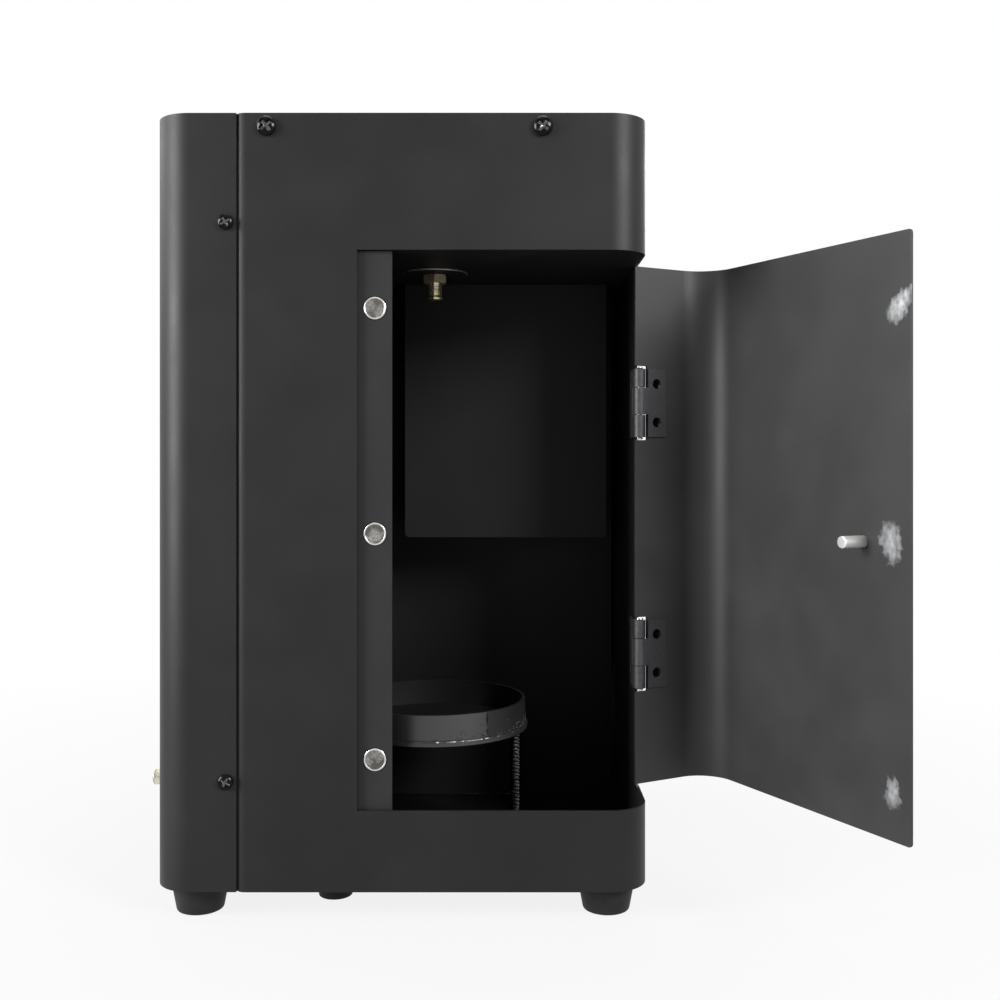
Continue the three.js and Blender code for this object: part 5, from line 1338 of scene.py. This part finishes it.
# %% Jet and electrodes
low, high = span("flame_jet")
JET_BORE, JET_STEM, JET_HEX, JET_FLATS = 1.2, 4.0, 8.0, 13.8
hex_foot, hex_top, cone_foot = low[2] + 13.8, low[2] + 18.5, low[2] + 19.3
jet_profile = [
    (JET_BORE, low[2]), (JET_STEM, low[2]), (JET_STEM, hex_foot), (JET_HEX, hex_foot),
    *steps_between(JET_HEX, hex_foot, hex_top, 10), (7.2, cone_foot), (4.8, cone_foot),
    (4.2, low[2] + 24), (3.2, high[2]), (JET_BORE, high[2]), (JET_BORE, low[2]),
]
jet = turned(
    "flame_jet_turned", (0, 0, 0), "up", jet_profile, brass, 0.2, 120,
    hex_rule(hex_foot, hex_top, JET_FLATS, 0.5),
)
finish_piece(jet, "cabinet", ["flame_jet"])

ELECTRODE_X, BUSHING, FLANGE, ROD_RADIUS, BEND = 17.0, 4.0, 5.5, 1.0, 2.5
for side, sign in (("left", -1), ("right", 1)):
    node = f"electrode_{side}"
    low, high = span(node)
    x = sign * ELECTRODE_X
    bush_top = high[2] - 8.0 + 1.0
    bend_foot = high[2] - 3.5
    ribs = [
        (BUSHING + 0.35 * math.sin(i * math.pi / 2) ** 2, low[2] + 15.0 + i * 0.55) for i in range(10)
    ]
    bushing_profile = [
        (0, low[2]), (BUSHING, low[2]), (BUSHING, low[2] + 9), (FLANGE, low[2] + 9),
        (FLANGE, low[2] + 12), (BUSHING, low[2] + 12), *ribs, (BUSHING, bush_top - 1),
        (3.0, bush_top), (0, bush_top),
    ]
    bushing = turned(f"{node}_bushing", (x, 0, 0), "up", bushing_profile, porcelain, 0.25, 48)
    finish_piece(bushing, "cabinet", [node])
    bend = np.radians(np.linspace(0, 90, 12))
    stretches = (
        (np.full(8, x), np.linspace(bush_top - 1, bend_foot, 8)),
        (x - sign * BEND * (1 - np.cos(bend)), bend_foot + BEND * np.sin(bend)),
        (np.linspace(x - sign * 3.2, sign * 5, 10), np.full(10, high[2] - 1.0)),
    )
    rod_line = np.concatenate([np.stack([x, np.zeros(len(x)), z], axis=1) for x, z in stretches])
    level = np.repeat(np.array([[0.0, 1.0, 0.0]]), len(rod_line), axis=0)
    rod = ring_piece(f"{node}_rod", wire_along(rod_line, level, ROD_RADIUS, 16), stainless_rod)
    finish_piece(rod, "cabinet")
print("electrodes", 2)

# %% [markdown]
# The studio is a white floor that runs on into a white background, and six soft lamps: two on each
# side, one above and one behind. The side lamps in front make the bright bands down the corners, and
# the others are weaker and light the roof and the back.

# %% Floor
FLOOR_SIZE = 6000.0
FADE_START, FADE_END = 200.0, 700.0
floor_corners = np.array([(-1, -1, 0), (1, -1, 0), (1, 1, 0), (-1, 1, 0)]) * FLOOR_SIZE / 2 - (0, 0, 0.2)
floor_finish = Finish("white_floor", (0.36, 0.36, 0.36), 0.9)
floor = mesh_piece("floor", floor_corners, np.array([(0, 1, 2, 3)]), floor_finish.material)
distance = floor_finish.vector("LENGTH", floor_finish.placed())
rays = floor_finish.node("ShaderNodeLightPath").outputs
seen = floor_finish.maths("MAXIMUM", rays["Is Camera Ray"], rays["Is Glossy Ray"])
white = floor_finish.spread(distance, FADE_START, FADE_END, 0.86, 1.0)
glow = floor_finish.node("ShaderNodeEmission", {"Color": (1, 1, 1, 1), "Strength": 1.0})
share = floor_finish.maths("MULTIPLY", white, seen)
mixed = floor_finish.node(
    "ShaderNodeMixShader", {0: share, 1: floor_finish.shader.outputs[0], 2: glow.outputs[0]},
)
output = floor_finish.nodes["Material Output"]
floor_finish.links.new(mixed.outputs[0], output.inputs["Surface"])
print("floor", FLOOR_SIZE, "mm")


# %% Lamps
def soft_lamp(name, place, size, power, target=(0.0, 0.0, 200.0)):
    """A rectangular lamp at a place in millimetres, turned to face a target."""
    data = bpy.data.lights.new(name, "AREA")
    data.shape = "RECTANGLE"
    data.size, data.size_y = size[0] * MM, size[1] * MM
    data.energy = power
    lamp = in_scene(name, data)
    lamp.location = np.array(place) * MM
    aim = Vector(np.array(target) - np.array(place))
    lamp.rotation_euler = aim.to_track_quat("-Z", "Y").to_euler()


soft_lamp("left_lamp", (-1300, -680, 570), (560, 900), 41, (0, -100, 240))
soft_lamp("left_back_lamp", (-1300, 400, 1050), (1000, 900), 10)
soft_lamp("right_lamp", (1080, -1050, 890), (560, 520), 31, (120, -120, 240))
soft_lamp("right_back_lamp", (1400, 900, 900), (1200, 1200), 1.5)
soft_lamp("top_lamp", (0, 200, 1900), (1200, 1200), 14)
soft_lamp("back_lamp", (500, 1700, 1100), (1200, 900), 20)
print("lamps", 6)

# %% World and view
world = bpy.data.worlds.new("studio")
bpy.context.scene.world = world
world.use_nodes = True
sky = world.node_tree
background = sky.nodes["Background"].inputs
SKY_LIGHT, SKY_SEEN = 0.1, 1.0
paths = add_node(sky, "ShaderNodeLightPath").outputs
direct = paths["Is Camera Ray"]
for ray in ("Is Glossy Ray", "Is Transmission Ray"):
    direct = add_node(sky, "ShaderNodeMath", {0: direct, 1: paths[ray]}, operation="MAXIMUM").outputs[0]
strength = add_node(sky, "ShaderNodeMapRange", {"Value": direct, 3: SKY_LIGHT, 4: SKY_SEEN})
sky.links.new(strength.outputs[0], background["Strength"])
background["Color"].default_value = (1, 1, 1, 1)
bpy.context.scene.view_settings.view_transform = "Standard"
print("world", world.name)
